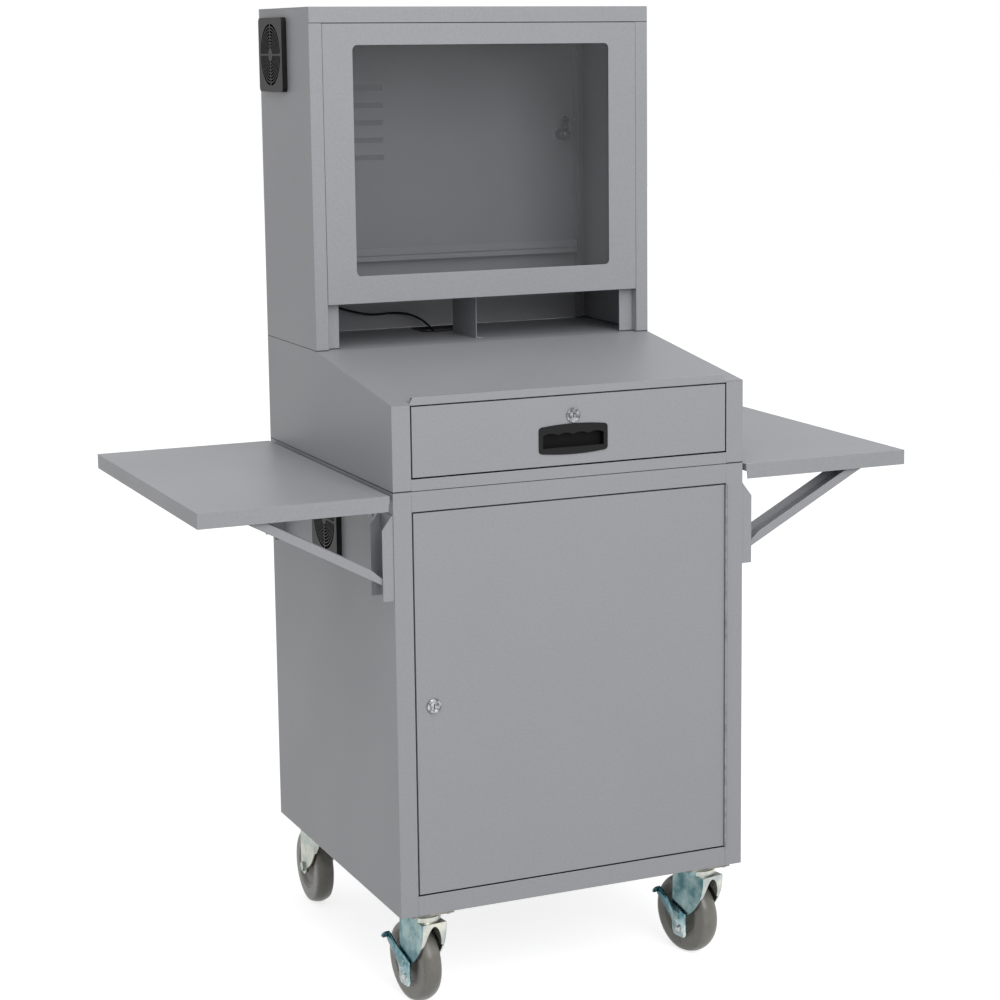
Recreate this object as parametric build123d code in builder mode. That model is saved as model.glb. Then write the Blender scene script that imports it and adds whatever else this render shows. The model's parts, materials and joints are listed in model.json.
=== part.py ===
from build123d import *
import os
from math import atan2, cos, degrees, hypot, pi, radians, sin, tan

os.makedirs("parts", exist_ok=True)

# Mobile computer cabinet, millimetres. The origin lies on the floor under the middle of its outline,
# +Z is up and the doors and drawer face -Y. Distances called y run back from the cabinet's front face.

# Cabinet
width = 622.0
depth = 612.0
sheet = 1.5
caster_height = 171.0
base_height = 696.0
desk_front_height = 138.0
desk_back_height = 183.0
housing_height = 570.0
housing_depth = 263.0
stile = 31.0
stile_return = 25.0

# Lower compartment
bottom_rail = 33.0
top_rail = 33.5
top_rail_return = 40.0
door_gap = 2.5
door_depth = 20.0
inner_shelf_height = 349.0
inner_shelf_edge = 20.0
inner_shelf_front_y = 45.0
inner_shelf_back_gap = 12.0

# Desk section and drawer
drawer_rail = 18.5
lip_height = 10.5
lip_depth = 9.0
lip_bevel = 5.0
drawer_top_drop = 2.4
drawer_front_depth = 15.0
drawer_side_gap = 14.5
drawer_floor_lift = 8.0
drawer_wall_drop = 17.5
drawer_travel = 400.0
pull_drop = 75.0
pull_half = 61.0
pull_height = 50.0
pull_arch = 4.0
pull_corner = 6.0
pull_bezel = 1.5
cup_half = 56.0
cup_height = 36.0
cup_depth = 13.5
cup_wall = 1.6
grip_half = 54.0
grip_height = 24.0
scallops = 4
slide_drop = 72.5
slide_play = 0.7
slide_front_y = 20.0
slide_length = 460.0
slide_inner_height = 34.2
slide_wall_gap = 1.0
slide_flange = 8.5
slide_tip_gap = 1.0
spacer_width = 24.0
spacer_height = 25.0
spacer_inset = 40.0

# Housing
cap_apron = 27.0
front_return = 22.5
rebate_depth = 18.0
jamb_width = 25.0
rear_return = 20.0
rear_return_depth = 22.0
cubby_height = 77.0
cubby_setback = 29.0
cubby_depth = 107.0
monitor_shelf_play = 2.0
monitor_shelf_back_gap = 32.0
monitor_shelf_flange = 20.0
divider_flange = 12.0
window_side_rail = 52.5
window_bottom_rail = 46.0
window_top_rail = 35.5
window_corner = 8.0
glazing_thickness = 3.0
glazing_lap = 14.5
rear_strip_height = 138.0
rear_strip_fold = 10.5
rear_door_depth = 16.0
rear_door_side_gap = 1.5
rear_door_top_gap = 2.0

# Louvres in the rear door
louvre_count = 5
louvre_pitch = 31.0
louvre_length = 150.0
louvre_rise = 12.0
louvre_proud = 7.0
louvre_slot = 8.0
louvre_right_x = -85.0
louvre_top_drop = 134.0

# Cable way through the desk
slot_half_width = 45.0
slot_depth = 65.0
slot_back_gap = 22.0
slot_corner = 10.0
grommet_lap = 4.0
grommet_wall = 2.6
grommet_play = 0.2

# Fans
fan_guard = 125.0
fan_guard_depth = 9.0
fan_guard_face = 3.0
fan_frame = 120.0
fan_frame_depth = 25.0
fan_bore = 112.0
fan_hub = 42.0
fan_spindle = 5.0
fan_blades = 7
fan_tip_radius = 53.0
grille_slots = 5
grille_pitch = 7.4
grille_slot_width = 4.2
grille_first_radius = 18.5
grille_rib = 5.0
fan_guard_corner = 8.0
fan_frame_corner = 6.0
fan_strut = 6.0
fan_strut_depth = 3.0
fan_spindle_end = 1.0
fan_gland_radius = 3.5
fan_gland_length = 6.0
rotor_gap = 0.8
rotor_length = 15.0
blade_sink = 1.0
blade_chord = 13.0
blade_thickness = 1.6
blade_pitch = 38.0
upper_fan_back = 85.0
upper_fan_drop = 78.0
lower_fan_drop = 92.0

# Side shelves
shelf_drop = 4.0
shelf_edge = 25.0
shelf_inner_edge = 12.0
shelf_side_gap = 6.0
shelf_reach = 310.0
shelf_front_y = -2.0
shelf_back_gap = 10.0
shelf_hinge_offset = 4.0
shelf_hinge_length = 120.0
shelf_hinge_front_y = 70.0
shelf_hinge_back_gap = 82.0
shelf_cut = 2.5
shelf_pin = 1.5
shelf_knuckle = 3.0
shelf_leaf = 1.0
shelf_leaf_drop = 26.0
bracket_width = 54.0
bracket_depth = 18.5
bracket_height = 137.0
bracket_drop = 32.0
bracket_chamfer = 22.5
bracket_front_gap = 2.0
bracket_rear_gap = 14.0
brace_angle = 28.3
brace_pivot_out = 9.5
brace_pivot_rise = 29.0
brace_pin = 8.0
brace_width = 47.0
brace_below = 6.5
brace_above = 8.0
brace_tip_gap = 1.5
brace_length = 284.0
brace_end_radius = 7.4
brace_notch = 34.0
brace_web_start = 12.0

# Locks, hinges and running fits
fit = 0.05
lock_barrel_radius = 9.5
lock_flange_radius = 12.0
lock_flange_depth = 3.0
lock_plug_radius = 7.0
lock_cam_length = 34.0
lock_cam_width = 12.0
lock_cam_thickness = 2.0
lock_tail = 2.0
lock_cam_gap = 0.5
key_slot_height = 8.0
key_slot_width = 1.6
key_slot_depth = 4.0
front_lock_inset = 29.0
front_lock_rise = 346.0
front_lock_depth = 27.0
drawer_lock_drop = 37.0
drawer_lock_depth = 20.0
drawer_strike_half = 20.0
drawer_strike_y = 17.0
drawer_strike_drop = 10.0
rear_lock_inset = 27.5
rear_lock_drop = 228.0
rear_lock_depth = 27.0
hinge_knuckle = 2.2
hinge_pin = 1.2
hinge_leaf = 0.8
hinge_proud = 2.5
hinge_segments = 11
hinge_leaf_depth = 18.0
rear_leaf_depth = 14.0
knuckle_bite = 0.7
segment_gap = 0.5
knuckle_relief = 0.4

# Casters
caster_inset_x = 57.0
caster_inset_y = 48.0
caster_trail = 30.0
wheel_radius = 68.0
wheel_width = 32.0
hub_width = 36.5
hub_play = 1.25
tyre_round = 10.0
rim_radius = 46.0
rim_recess = 7.0
hub_radius = 15.0
axle_radius = 5.0
fork_sheet = 2.5
fork_plate = 3.5
fork_front = 38.0
fork_back = 42.0
fork_tip = 14.0
fork_arch = 0.62
arch_gap = 4.0
nut_thickness = 4.0
nut_rim = 4.0
boss_radius = 8.0
boss_length = 5.0
plate_x = 72.0
plate_y = 92.0
plate_thickness = 3.5
race_radius = 29.0
race_gap = 0.4
upper_race_height = 9.5
lower_race_height = 7.6
kingpin_radius = 6.0
wheel_yaw = {"front_left": 7.0, "front_right": 12.0, "rear_left": 0.0, "rear_right": 4.0}
lever_gap = 1.5
lever_thickness = 2.5
lever_reach = (44.0, 33.0)
lever_width = 15.0
lever_pedal = 16.0
lever_pedal_width = 12.0
lever_tab = 17.0
lever_collar = 3.0

# Cord
cord_radius = 2.0
arc_share = 0.45

# Sizes that follow
half = width / 2
inner = half - sheet
opening = half - stile
drawer_half_width = opening - drawer_side_gap
base_z = caster_height
base_top = base_z + base_height
desk_front_z = base_top + desk_front_height
desk_z = base_top + desk_back_height
top_z = desk_z + housing_height
back_inner_y = depth - 2 * sheet
housing_front_y = depth - housing_depth
wheel_back_y = depth - caster_inset_y + caster_trail + wheel_radius
front_y = -(wheel_back_y - hinge_proud - hinge_knuckle) / 2
slot_back_y = depth - slot_back_gap
slot_front_y = slot_back_y - slot_depth
upper_fan_y = depth - upper_fan_back
upper_fan_z = top_z - upper_fan_drop
lower_fan_y = depth / 2
lower_fan_z = base_top - lower_fan_drop
shelf_top_z = base_top - shelf_drop
bracket_top_z = shelf_top_z - bracket_drop
bracket_bottom_z = bracket_top_z - bracket_height
brace_pivot_z = bracket_bottom_z + brace_pivot_rise
front_lock_z = base_z + front_lock_rise
drawer_lock_z = desk_front_z - drawer_lock_drop
rear_lock_z = top_z - rear_lock_drop


def level(z):
    """Lying plane at a height, local x to the right and local y back from the front face."""
    return Plane(origin=(0, front_y, z), x_dir=(1, 0, 0), z_dir=(0, 0, 1))


def upright(y):
    """Standing plane that faces the front, local x to the right and local y up."""
    return Plane(origin=(0, front_y + y, 0), x_dir=(1, 0, 0), z_dir=(0, -1, 0))


def sideways(x):
    """Standing plane that faces the right, local x back from the front face and local y up."""
    return Plane(origin=(x, front_y, 0), x_dir=(0, 1, 0), z_dir=(1, 0, 0))


def at(x, y, z):
    """Point with y counted back from the front face."""
    return (x, front_y + y, z)


def gauge_side(path, gauge):
    """The path moved to its right by the sheet's gauge, with mitred corners."""
    points = [Vector(x, y) for x, y in path]
    runs = [(b - a).normalized() for a, b in zip(points, points[1:])]
    rights = [Vector(run.Y, -run.X) for run in runs]
    moved = [points[0] + rights[0] * gauge]
    for point, one, two in zip(points[1:-1], rights, rights[1:]):
        middle = (one + two).normalized()
        moved.append(point + middle * (gauge / middle.dot(one)))
    moved.append(points[-1] + rights[-1] * gauge)
    return [(p.X, p.Y) for p in moved]


def bent_sheet(plane, path, gauge=sheet):
    """Section of a folded sheet whose gauge lies to the right of its path."""
    with BuildSketch(plane) as section:
        with BuildLine():
            Polyline(*path, *reversed(gauge_side(path, gauge)), close=True)
        make_face()
    return section.sketch


def outline(plane, points):
    """Flat face with straight edges."""
    with BuildSketch(plane) as section:
        with BuildLine():
            Polyline(*points, close=True)
        make_face()
    return section.sketch


def disc(origin, axis, radius):
    """Round face square to an axis."""
    with BuildSketch(Plane(origin=origin, z_dir=axis)) as section:
        Circle(radius)
    return section.sketch


def slab(x, y, z, mode=Mode.ADD):
    """Block between two values along each axis."""
    with Locations(at(sum(x) / 2, sum(y) / 2, sum(z) / 2)):
        Box(x[1] - x[0], y[1] - y[0], z[1] - z[0], mode=mode)


def slope_z(y):
    """Height of the sloping desk top."""
    return desk_front_z + (desk_z - desk_front_z) * y / housing_front_y


# Base
door_bottom_z = base_z + bottom_rail
door_top_z = base_top - top_rail
base_side_path = [
    (-opening, stile_return),
    (-opening, 0),
    (-half, 0),
    (-half, depth),
    (-opening, depth),
]

with BuildPart() as base_left_side:
    extrude(bent_sheet(level(base_z), base_side_path), amount=base_height)
    hole_start = at(-half, lower_fan_y, lower_fan_z)
    extrude(disc(hole_start, (1, 0, 0), fan_bore / 2), amount=sheet, mode=Mode.SUBTRACT)
base_left_side.part.label = "base_left_side"
export_step(base_left_side.part, "parts/base_left_side.step")

with BuildPart() as base_right_side:
    extrude(bent_sheet(level(base_z), base_side_path), amount=base_height)
    mirror(about=Plane.YZ, mode=Mode.REPLACE)
base_right_side.part.label = "base_right_side"
export_step(base_right_side.part, "parts/base_right_side.step")

with BuildPart() as base_floor:
    floor_path = [(depth - sheet, base_z), (0, base_z), (0, door_bottom_z)]
    extrude(bent_sheet(sideways(-opening), floor_path), amount=2 * opening)
    slab((-inner, inner), (stile_return, depth - sheet), (base_z, base_z + sheet))
base_floor.part.label = "base_floor"
export_step(base_floor.part, "parts/base_floor.step")

with BuildPart() as base_top_rail:
    rail_path = [(0, door_top_z), (0, base_top), (top_rail_return, base_top)]
    extrude(bent_sheet(sideways(-opening), rail_path), amount=2 * opening)
base_top_rail.part.label = "base_top_rail"
export_step(base_top_rail.part, "parts/base_top_rail.step")

with BuildPart() as back_panel:
    slab((-inner, inner), (back_inner_y, depth - sheet), (base_z + sheet, desk_z - sheet))
back_panel.part.label = "back_panel"
export_step(back_panel.part, "parts/back_panel.step")

inner_shelf_z = base_z + inner_shelf_height
inner_shelf_back_y = depth - inner_shelf_back_gap

with BuildPart() as inner_shelf:
    shelf_path = [
        (inner_shelf_front_y, inner_shelf_z - inner_shelf_edge),
        (inner_shelf_front_y, inner_shelf_z),
        (inner_shelf_back_y, inner_shelf_z),
        (inner_shelf_back_y, inner_shelf_z - inner_shelf_edge),
    ]
    extrude(bent_sheet(sideways(-inner), shelf_path), amount=2 * inner)
inner_shelf.part.label = "inner_shelf"
export_step(inner_shelf.part, "parts/inner_shelf.step")

# Desk section
desk_side_points = [
    (0, base_top),
    (depth, base_top),
    (depth, desk_z),
    (housing_front_y, desk_z),
    (0, desk_front_z),
]

with BuildPart() as desk_left_side:
    extrude(outline(sideways(-half), desk_side_points), amount=sheet)
    slab((-inner, -opening), (0, sheet), (base_top, desk_front_z - sheet))
    slab((-inner, -opening), (depth - sheet, depth), (base_top, desk_z))
desk_left_side.part.label = "desk_left_side"
export_step(desk_left_side.part, "parts/desk_left_side.step")

with BuildPart() as desk_right_side:
    extrude(outline(sideways(inner), desk_side_points), amount=sheet)
    slab((opening, inner), (0, sheet), (base_top, desk_front_z - sheet))
    slab((opening, inner), (depth - sheet, depth), (base_top, desk_z))
desk_right_side.part.label = "desk_right_side"
export_step(desk_right_side.part, "parts/desk_right_side.step")


def cable_slot(z, grow=0.0):
    """Rounded cable slot in a lying plane."""
    with BuildSketch(level(z)) as section:
        with Locations((0, slot_back_y - slot_depth / 2)):
            RectangleRounded(2 * (slot_half_width + grow), slot_depth + 2 * grow, slot_corner + grow)
    return section.sketch


drawer_bottom_z = base_top + drawer_rail
drawer_top_z = desk_front_z - drawer_top_drop

with BuildPart() as desk_pan:
    pan_path = [(back_inner_y, base_top), (0, base_top), (0, drawer_bottom_z)]
    extrude(bent_sheet(sideways(-opening), pan_path), amount=2 * opening)
    slab((-inner, inner), (sheet, back_inner_y), (base_top, base_top + sheet))
    extrude(cable_slot(base_top), amount=sheet, mode=Mode.SUBTRACT)
desk_pan.part.label = "desk_pan"
export_step(desk_pan.part, "parts/desk_pan.step")

lip_top_z = desk_front_z + lip_height

with BuildPart() as desk_top:
    top_path = [(sheet / 2, slope_z(sheet / 2)), (housing_front_y, desk_z), (depth - sheet, desk_z)]
    extrude(bent_sheet(sideways(-inner), top_path), amount=2 * inner)
    lip_path = [(0, drawer_top_z), (0, lip_top_z), (lip_depth, lip_top_z), (lip_depth, slope_z(0))]
    extrude(bent_sheet(sideways(-opening), lip_path), amount=2 * opening)
    for end in (-1, 1):
        bevel = [
            (end * opening, lip_top_z),
            (end * opening, slope_z(lip_depth)),
            (end * (opening - lip_bevel), lip_top_z),
        ]
        extrude(outline(upright(0), bevel), amount=-lip_depth, mode=Mode.SUBTRACT)
    strike_x = (-drawer_strike_half, drawer_strike_half)
    strike_y = (drawer_strike_y, drawer_strike_y + sheet)
    slab(strike_x, strike_y, (desk_front_z - drawer_strike_drop, slope_z(drawer_strike_y) - sheet / 2))
    extrude(cable_slot(desk_z - sheet), amount=sheet, mode=Mode.SUBTRACT)
desk_top.part.label = "desk_top"
export_step(desk_top.part, "parts/desk_top.step")

with BuildPart() as cable_grommet:
    extrude(cable_slot(desk_z, grommet_lap), amount=sheet)
    extrude(cable_slot(desk_z - 2 * sheet, -grommet_play), amount=2 * sheet)
    extrude(cable_slot(desk_z - 2 * sheet, -grommet_wall), amount=3 * sheet, mode=Mode.SUBTRACT)
cable_grommet.part.label = "cable_grommet"
export_step(cable_grommet.part, "parts/cable_grommet.step")

# Housing
apron_z = top_z - cap_apron
panel_half = half - front_return
jamb_y = housing_front_y + rebate_depth
rear_half = half - rear_return
housing_path = [
    (-panel_half + jamb_width, jamb_y),
    (-panel_half, jamb_y),
    (-panel_half, housing_front_y),
    (-half, housing_front_y),
    (-half, depth),
    (-rear_half, depth),
    (-rear_half, depth - rear_return_depth),
]
flange_x = (-half, -panel_half + jamb_width)

with BuildPart() as housing_left_side:
    extrude(bent_sheet(level(desk_z), housing_path), amount=housing_height - sheet)
    slab(flange_x, (housing_front_y, housing_front_y + sheet), (apron_z, top_z), Mode.SUBTRACT)
    slab(flange_x, (depth - sheet, depth), (apron_z, top_z), Mode.SUBTRACT)
    hole_start = at(-half, upper_fan_y, upper_fan_z)
    extrude(disc(hole_start, (1, 0, 0), fan_bore / 2), amount=sheet, mode=Mode.SUBTRACT)
housing_left_side.part.label = "housing_left_side"
export_step(housing_left_side.part, "parts/housing_left_side.step")

with BuildPart() as housing_right_side:
    extrude(bent_sheet(level(desk_z), housing_path), amount=housing_height - sheet)
    slab(flange_x, (housing_front_y, housing_front_y + sheet), (apron_z, top_z), Mode.SUBTRACT)
    slab(flange_x, (depth - sheet, depth), (apron_z, top_z), Mode.SUBTRACT)
    mirror(about=Plane.YZ, mode=Mode.REPLACE)
housing_right_side.part.label = "housing_right_side"
export_step(housing_right_side.part, "parts/housing_right_side.step")

with BuildPart() as housing_cap:
    cap_path = [(housing_front_y, apron_z), (housing_front_y, top_z), (depth, top_z), (depth, apron_z)]
    extrude(bent_sheet(sideways(-half), cap_path), amount=width)
housing_cap.part.label = "housing_cap"
export_step(housing_cap.part, "parts/housing_cap.step")

rear_strip_z = desk_z + rear_strip_height

with BuildPart() as housing_rear_strip:
    strip_path = [(depth - sheet - rear_strip_fold, rear_strip_z), (depth, rear_strip_z), (depth, desk_z)]
    extrude(bent_sheet(sideways(-rear_half), strip_path), amount=2 * rear_half)
housing_rear_strip.part.label = "housing_rear_strip"
export_step(housing_rear_strip.part, "parts/housing_rear_strip.step")

panel_play = 0.5
panel_x = panel_half - panel_play
panel_bottom_z = desk_z + cubby_height
panel_top_z = apron_z - panel_play
window_half = panel_x - window_side_rail
window_bottom_z = panel_bottom_z + window_bottom_rail
window_top_z = panel_top_z - window_top_rail
window_middle_z = (window_bottom_z + window_top_z) / 2
glass_front_y = housing_front_y + sheet

with BuildPart() as window_panel:
    slab((-panel_x, panel_x), (housing_front_y, jamb_y), (panel_bottom_z, panel_top_z))
    hollow_x = panel_x - sheet
    slab(
        (-hollow_x, hollow_x),
        (glass_front_y, jamb_y),
        (panel_bottom_z + sheet, panel_top_z - sheet),
        Mode.SUBTRACT,
    )
    with BuildSketch(upright(housing_front_y)):
        with Locations((0, window_middle_z)):
            RectangleRounded(2 * window_half, window_top_z - window_bottom_z, window_corner)
    extrude(amount=-sheet, mode=Mode.SUBTRACT)
window_panel.part.label = "window_panel"
export_step(window_panel.part, "parts/window_panel.step")

with BuildPart() as window_glazing:
    slab(
        (-window_half - glazing_lap, window_half + glazing_lap),
        (glass_front_y, glass_front_y + glazing_thickness),
        (window_bottom_z - glazing_lap, window_top_z + glazing_lap),
    )
window_glazing.part.label = "window_glazing"
export_step(window_glazing.part, "parts/window_glazing.step")

monitor_shelf_z = panel_bottom_z + panel_play + monitor_shelf_play
monitor_shelf_front_y = jamb_y + monitor_shelf_play
monitor_shelf_back_y = depth - monitor_shelf_back_gap

with BuildPart() as monitor_shelf:
    section = [
        (-inner, monitor_shelf_z - monitor_shelf_flange),
        (-inner, monitor_shelf_z),
        (inner, monitor_shelf_z),
        (inner, monitor_shelf_z - monitor_shelf_flange),
    ]
    shelf_run = monitor_shelf_back_y - monitor_shelf_front_y
    extrude(bent_sheet(upright(monitor_shelf_front_y), section), amount=-shelf_run)
monitor_shelf.part.label = "monitor_shelf"
export_step(monitor_shelf.part, "parts/monitor_shelf.step")

divider_front_y = jamb_y + cubby_setback

with BuildPart() as cubby_divider:
    section = [
        (divider_flange, desk_z),
        (-sheet / 2, desk_z),
        (-sheet / 2, monitor_shelf_z - sheet),
        (divider_flange, monitor_shelf_z - sheet),
    ]
    extrude(bent_sheet(upright(divider_front_y), section), amount=-cubby_depth)
cubby_divider.part.label = "cubby_divider"
export_step(cubby_divider.part, "parts/cubby_divider.step")


# Fans
def outward_plane(x, y, z):
    """Plane on the left wall that faces outward, local x to the front and local y up."""
    return Plane(origin=at(x, y, z), x_dir=(0, -1, 0), z_dir=(-1, 0, 0))


def square(x, y, z, size, corner):
    """Rounded square on the left wall."""
    with BuildSketch(outward_plane(x, y, z)) as section:
        RectangleRounded(size, size, corner)
    return section.sketch


def grille_openings(x, y, z):
    """Ring slots broken by one upright and one level rib."""
    with BuildSketch(outward_plane(x, y, z)) as section:
        for ring in range(grille_slots):
            radius = grille_first_radius + ring * grille_pitch
            Circle(radius + grille_slot_width)
            Circle(radius, mode=Mode.SUBTRACT)
        Rectangle(grille_rib, fan_guard, mode=Mode.SUBTRACT)
        Rectangle(fan_guard, grille_rib, mode=Mode.SUBTRACT)
    return section.sketch


fan_places = ((upper_fan_y, upper_fan_z), (lower_fan_y, lower_fan_z))

with BuildPart() as fan_guards:
    for y, z in fan_places:
        extrude(square(-half, y, z, fan_guard, fan_guard_corner), amount=fan_guard_depth)
        pocket = fan_guard_depth - fan_guard_face
        extrude(disc(at(-half, y, z), (-1, 0, 0), fan_bore / 2), amount=pocket, mode=Mode.SUBTRACT)
        face_x = -half - pocket
        extrude(grille_openings(face_x, y, z), amount=fan_guard_face, mode=Mode.SUBTRACT)
fan_guards.part.label = "fan_guards"
export_step(fan_guards.part, "parts/fan_guards.step")

fan_back_x = -inner + fan_frame_depth
fan_lead_x = -inner + fan_frame_depth / 2
upper_lead = at(fan_lead_x, upper_fan_y, upper_fan_z - fan_frame / 2)
lower_lead = at(fan_lead_x, lower_fan_y + fan_frame / 2, lower_fan_z)

with BuildPart() as fan_frames:
    for y, z in fan_places:
        extrude(square(-inner, y, z, fan_frame, fan_frame_corner), amount=-fan_frame_depth)
        start = at(-inner, y, z)
        extrude(disc(start, (1, 0, 0), fan_bore / 2), amount=fan_frame_depth, mode=Mode.SUBTRACT)
        motor = at(fan_back_x, y, z)
        extrude(disc(motor, (-1, 0, 0), fan_hub / 2), amount=fan_strut_depth)
        spindle_length = fan_strut_depth + rotor_gap + rotor_length + fan_spindle_end
        extrude(disc(motor, (-1, 0, 0), fan_spindle / 2), amount=spindle_length)
        with Locations(at(fan_back_x - fan_strut_depth / 2, y, z)):
            strut_length = (fan_bore + fan_frame) / 2
            Box(fan_strut_depth, strut_length, fan_strut)
            Box(fan_strut_depth, fan_strut, strut_length)
    extrude(disc(upper_lead, (0, 0, -1), fan_gland_radius), amount=fan_gland_length)
    extrude(disc(lower_lead, (0, 1, 0), fan_gland_radius), amount=fan_gland_length)
fan_frames.part.label = "fan_frames"
export_step(fan_frames.part, "parts/fan_frames.step")

rotor_back_x = fan_back_x - fan_strut_depth - rotor_gap
blade_root = fan_hub / 2 - blade_sink


def fan_rotor(name, y, z):
    """Hub and pitched blades of one fan."""
    with BuildPart() as rotor:
        hub_start = at(rotor_back_x, y, z)
        extrude(disc(hub_start, (-1, 0, 0), fan_hub / 2), amount=rotor_length)
        blade_length = fan_tip_radius - blade_root
        with Locations(Plane(origin=at(rotor_back_x - rotor_length / 2, y, z), z_dir=(-1, 0, 0))):
            with PolarLocations(blade_root + blade_length / 2, fan_blades):
                Box(blade_length, blade_chord, blade_thickness, rotation=(blade_pitch, 0, 0))
        bore = fan_spindle / 2 + fit
        extrude(disc(hub_start, (-1, 0, 0), bore), amount=rotor_length, mode=Mode.SUBTRACT)
    rotor.part.label = name
    export_step(rotor.part, f"parts/{name}.step")


fan_rotor("upper_fan_rotor", upper_fan_y, upper_fan_z)
fan_rotor("lower_fan_rotor", lower_fan_y, lower_fan_z)


# Piano hinges
def hinge_spans(bottom, top, moving):
    """Heights of the knuckles that one leaf carries; the fixed leaf has both end knuckles."""
    step = (top - bottom) / hinge_segments
    first = 1 if moving else 0
    return [
        (bottom + i * step + segment_gap / 2, bottom + (i + 1) * step - segment_gap / 2)
        for i in range(first, hinge_segments, 2)
    ]


def standing_leaf(axis_x, axis_y, bottom, top, moving, leaf_x, leaf_y):
    """Leaf, knuckles and, on the fixed leaf, the pin of one standing piano hinge."""
    slab(leaf_x, leaf_y, (bottom, top))
    for low, high in hinge_spans(bottom, top, not moving):
        start = at(axis_x, axis_y, low - segment_gap)
        height = high - low + 2 * segment_gap
        reach = hinge_knuckle + knuckle_relief
        extrude(disc(start, (0, 0, 1), reach), amount=height, mode=Mode.SUBTRACT)
    for low, high in hinge_spans(bottom, top, moving):
        extrude(disc(at(axis_x, axis_y, low), (0, 0, 1), hinge_knuckle), amount=high - low)
    pin = hinge_pin + fit if moving else hinge_pin
    start = at(axis_x, axis_y, bottom)
    extrude(disc(start, (0, 0, 1), pin), amount=top - bottom, mode=Mode.SUBTRACT if moving else Mode.ADD)


door_half = opening - door_gap
door_low_z = door_bottom_z + door_gap
door_high_z = door_top_z - door_gap
door_axis_x = opening - door_gap / 2
rear_door_left_x = -rear_half + door_gap
rear_door_right_x = rear_half - rear_door_side_gap
rear_door_low_z = rear_strip_z + door_gap
rear_door_high_z = apron_z - rear_door_top_gap
rear_axis_x = -rear_half + door_gap / 2
rear_axis_y = depth + hinge_proud
knuckle_reach = hinge_knuckle * knuckle_bite
front_lock_x = front_lock_inset - door_half
rear_lock_x = rear_door_right_x - rear_lock_inset

with BuildPart() as fixed_hinge_leaves:
    standing_leaf(
        door_axis_x,
        -hinge_proud,
        door_low_z,
        door_high_z,
        False,
        (opening - hinge_leaf, opening),
        (-hinge_proud + knuckle_reach, hinge_leaf_depth),
    )
    standing_leaf(
        rear_axis_x,
        rear_axis_y,
        rear_door_low_z,
        rear_door_high_z,
        False,
        (-rear_half, -rear_half + hinge_leaf),
        (depth - hinge_leaf_depth, rear_axis_y - knuckle_reach),
    )
fixed_hinge_leaves.part.label = "fixed_hinge_leaves"
export_step(fixed_hinge_leaves.part, "parts/fixed_hinge_leaves.step")

# Front door
with BuildPart() as front_door:
    slab((-door_half, door_half), (0, door_depth), (door_low_z, door_high_z))
    hollow_x = door_half - sheet
    slab(
        (-hollow_x, hollow_x),
        (sheet, door_depth),
        (door_low_z + sheet, door_high_z - sheet),
        Mode.SUBTRACT,
    )
    lock_start = at(front_lock_x, 0, front_lock_z)
    extrude(disc(lock_start, (0, 1, 0), lock_barrel_radius), amount=sheet, mode=Mode.SUBTRACT)
front_door.part.label = "front_door"
export_step(front_door.part, "parts/front_door.step")

with BuildPart() as front_door_leaf:
    standing_leaf(
        door_axis_x,
        -hinge_proud,
        door_low_z,
        door_high_z,
        True,
        (door_half, door_half + hinge_leaf),
        (-hinge_proud + knuckle_reach, hinge_leaf_depth),
    )
front_door_leaf.part.label = "front_door_leaf"
export_step(front_door_leaf.part, "parts/front_door_leaf.step")


# Cam locks
def lock_barrel(name, x, y, z, inward, length):
    """Flanged barrel of a cam lock, from the face of its panel inward."""
    with BuildPart() as barrel:
        axis = (0, inward, 0)
        flange_start = at(x, y - inward * lock_flange_depth, z)
        extrude(disc(flange_start, axis, lock_flange_radius), amount=lock_flange_depth)
        extrude(disc(at(x, y, z), axis, lock_barrel_radius), amount=length)
        whole = length + lock_flange_depth
        bore = lock_plug_radius + fit
        extrude(disc(flange_start, axis, bore), amount=whole, mode=Mode.SUBTRACT)
    barrel.part.label = name
    export_step(barrel.part, f"parts/{name}.step")


def lock_plug(name, x, y, z, inward, length, cam_side):
    """Turning plug with its key slot and the cam arm behind the barrel."""
    with BuildPart() as plug:
        axis = (0, inward, 0)
        start = at(x, y - inward * lock_flange_depth, z)
        cam_y = y + inward * (length + lock_cam_gap)
        whole = lock_flange_depth + length + lock_cam_gap + lock_cam_thickness
        extrude(disc(start, axis, lock_plug_radius), amount=whole)
        with BuildSketch(upright(cam_y)):
            with Locations((x, z)):
                Circle(lock_plug_radius + lock_tail)
            arm = lock_cam_length - lock_cam_width / 2
            with Locations((x + cam_side[0] * arm / 2, z + cam_side[1] * arm / 2)):
                across = lock_cam_width
                Rectangle(abs(cam_side[0]) * arm or across, abs(cam_side[1]) * arm or across)
            with Locations((x + cam_side[0] * arm, z + cam_side[1] * arm)):
                Circle(lock_cam_width / 2)
        extrude(amount=-inward * lock_cam_thickness)
        with Locations(start):
            Box(key_slot_width, 2 * key_slot_depth, key_slot_height, mode=Mode.SUBTRACT)
    plug.part.label = name
    export_step(plug.part, f"parts/{name}.step")


lock_barrel("front_lock_barrel", front_lock_x, 0, front_lock_z, 1, front_lock_depth)
lock_plug("front_lock_plug", front_lock_x, 0, front_lock_z, 1, front_lock_depth, (0, 1))

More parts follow.
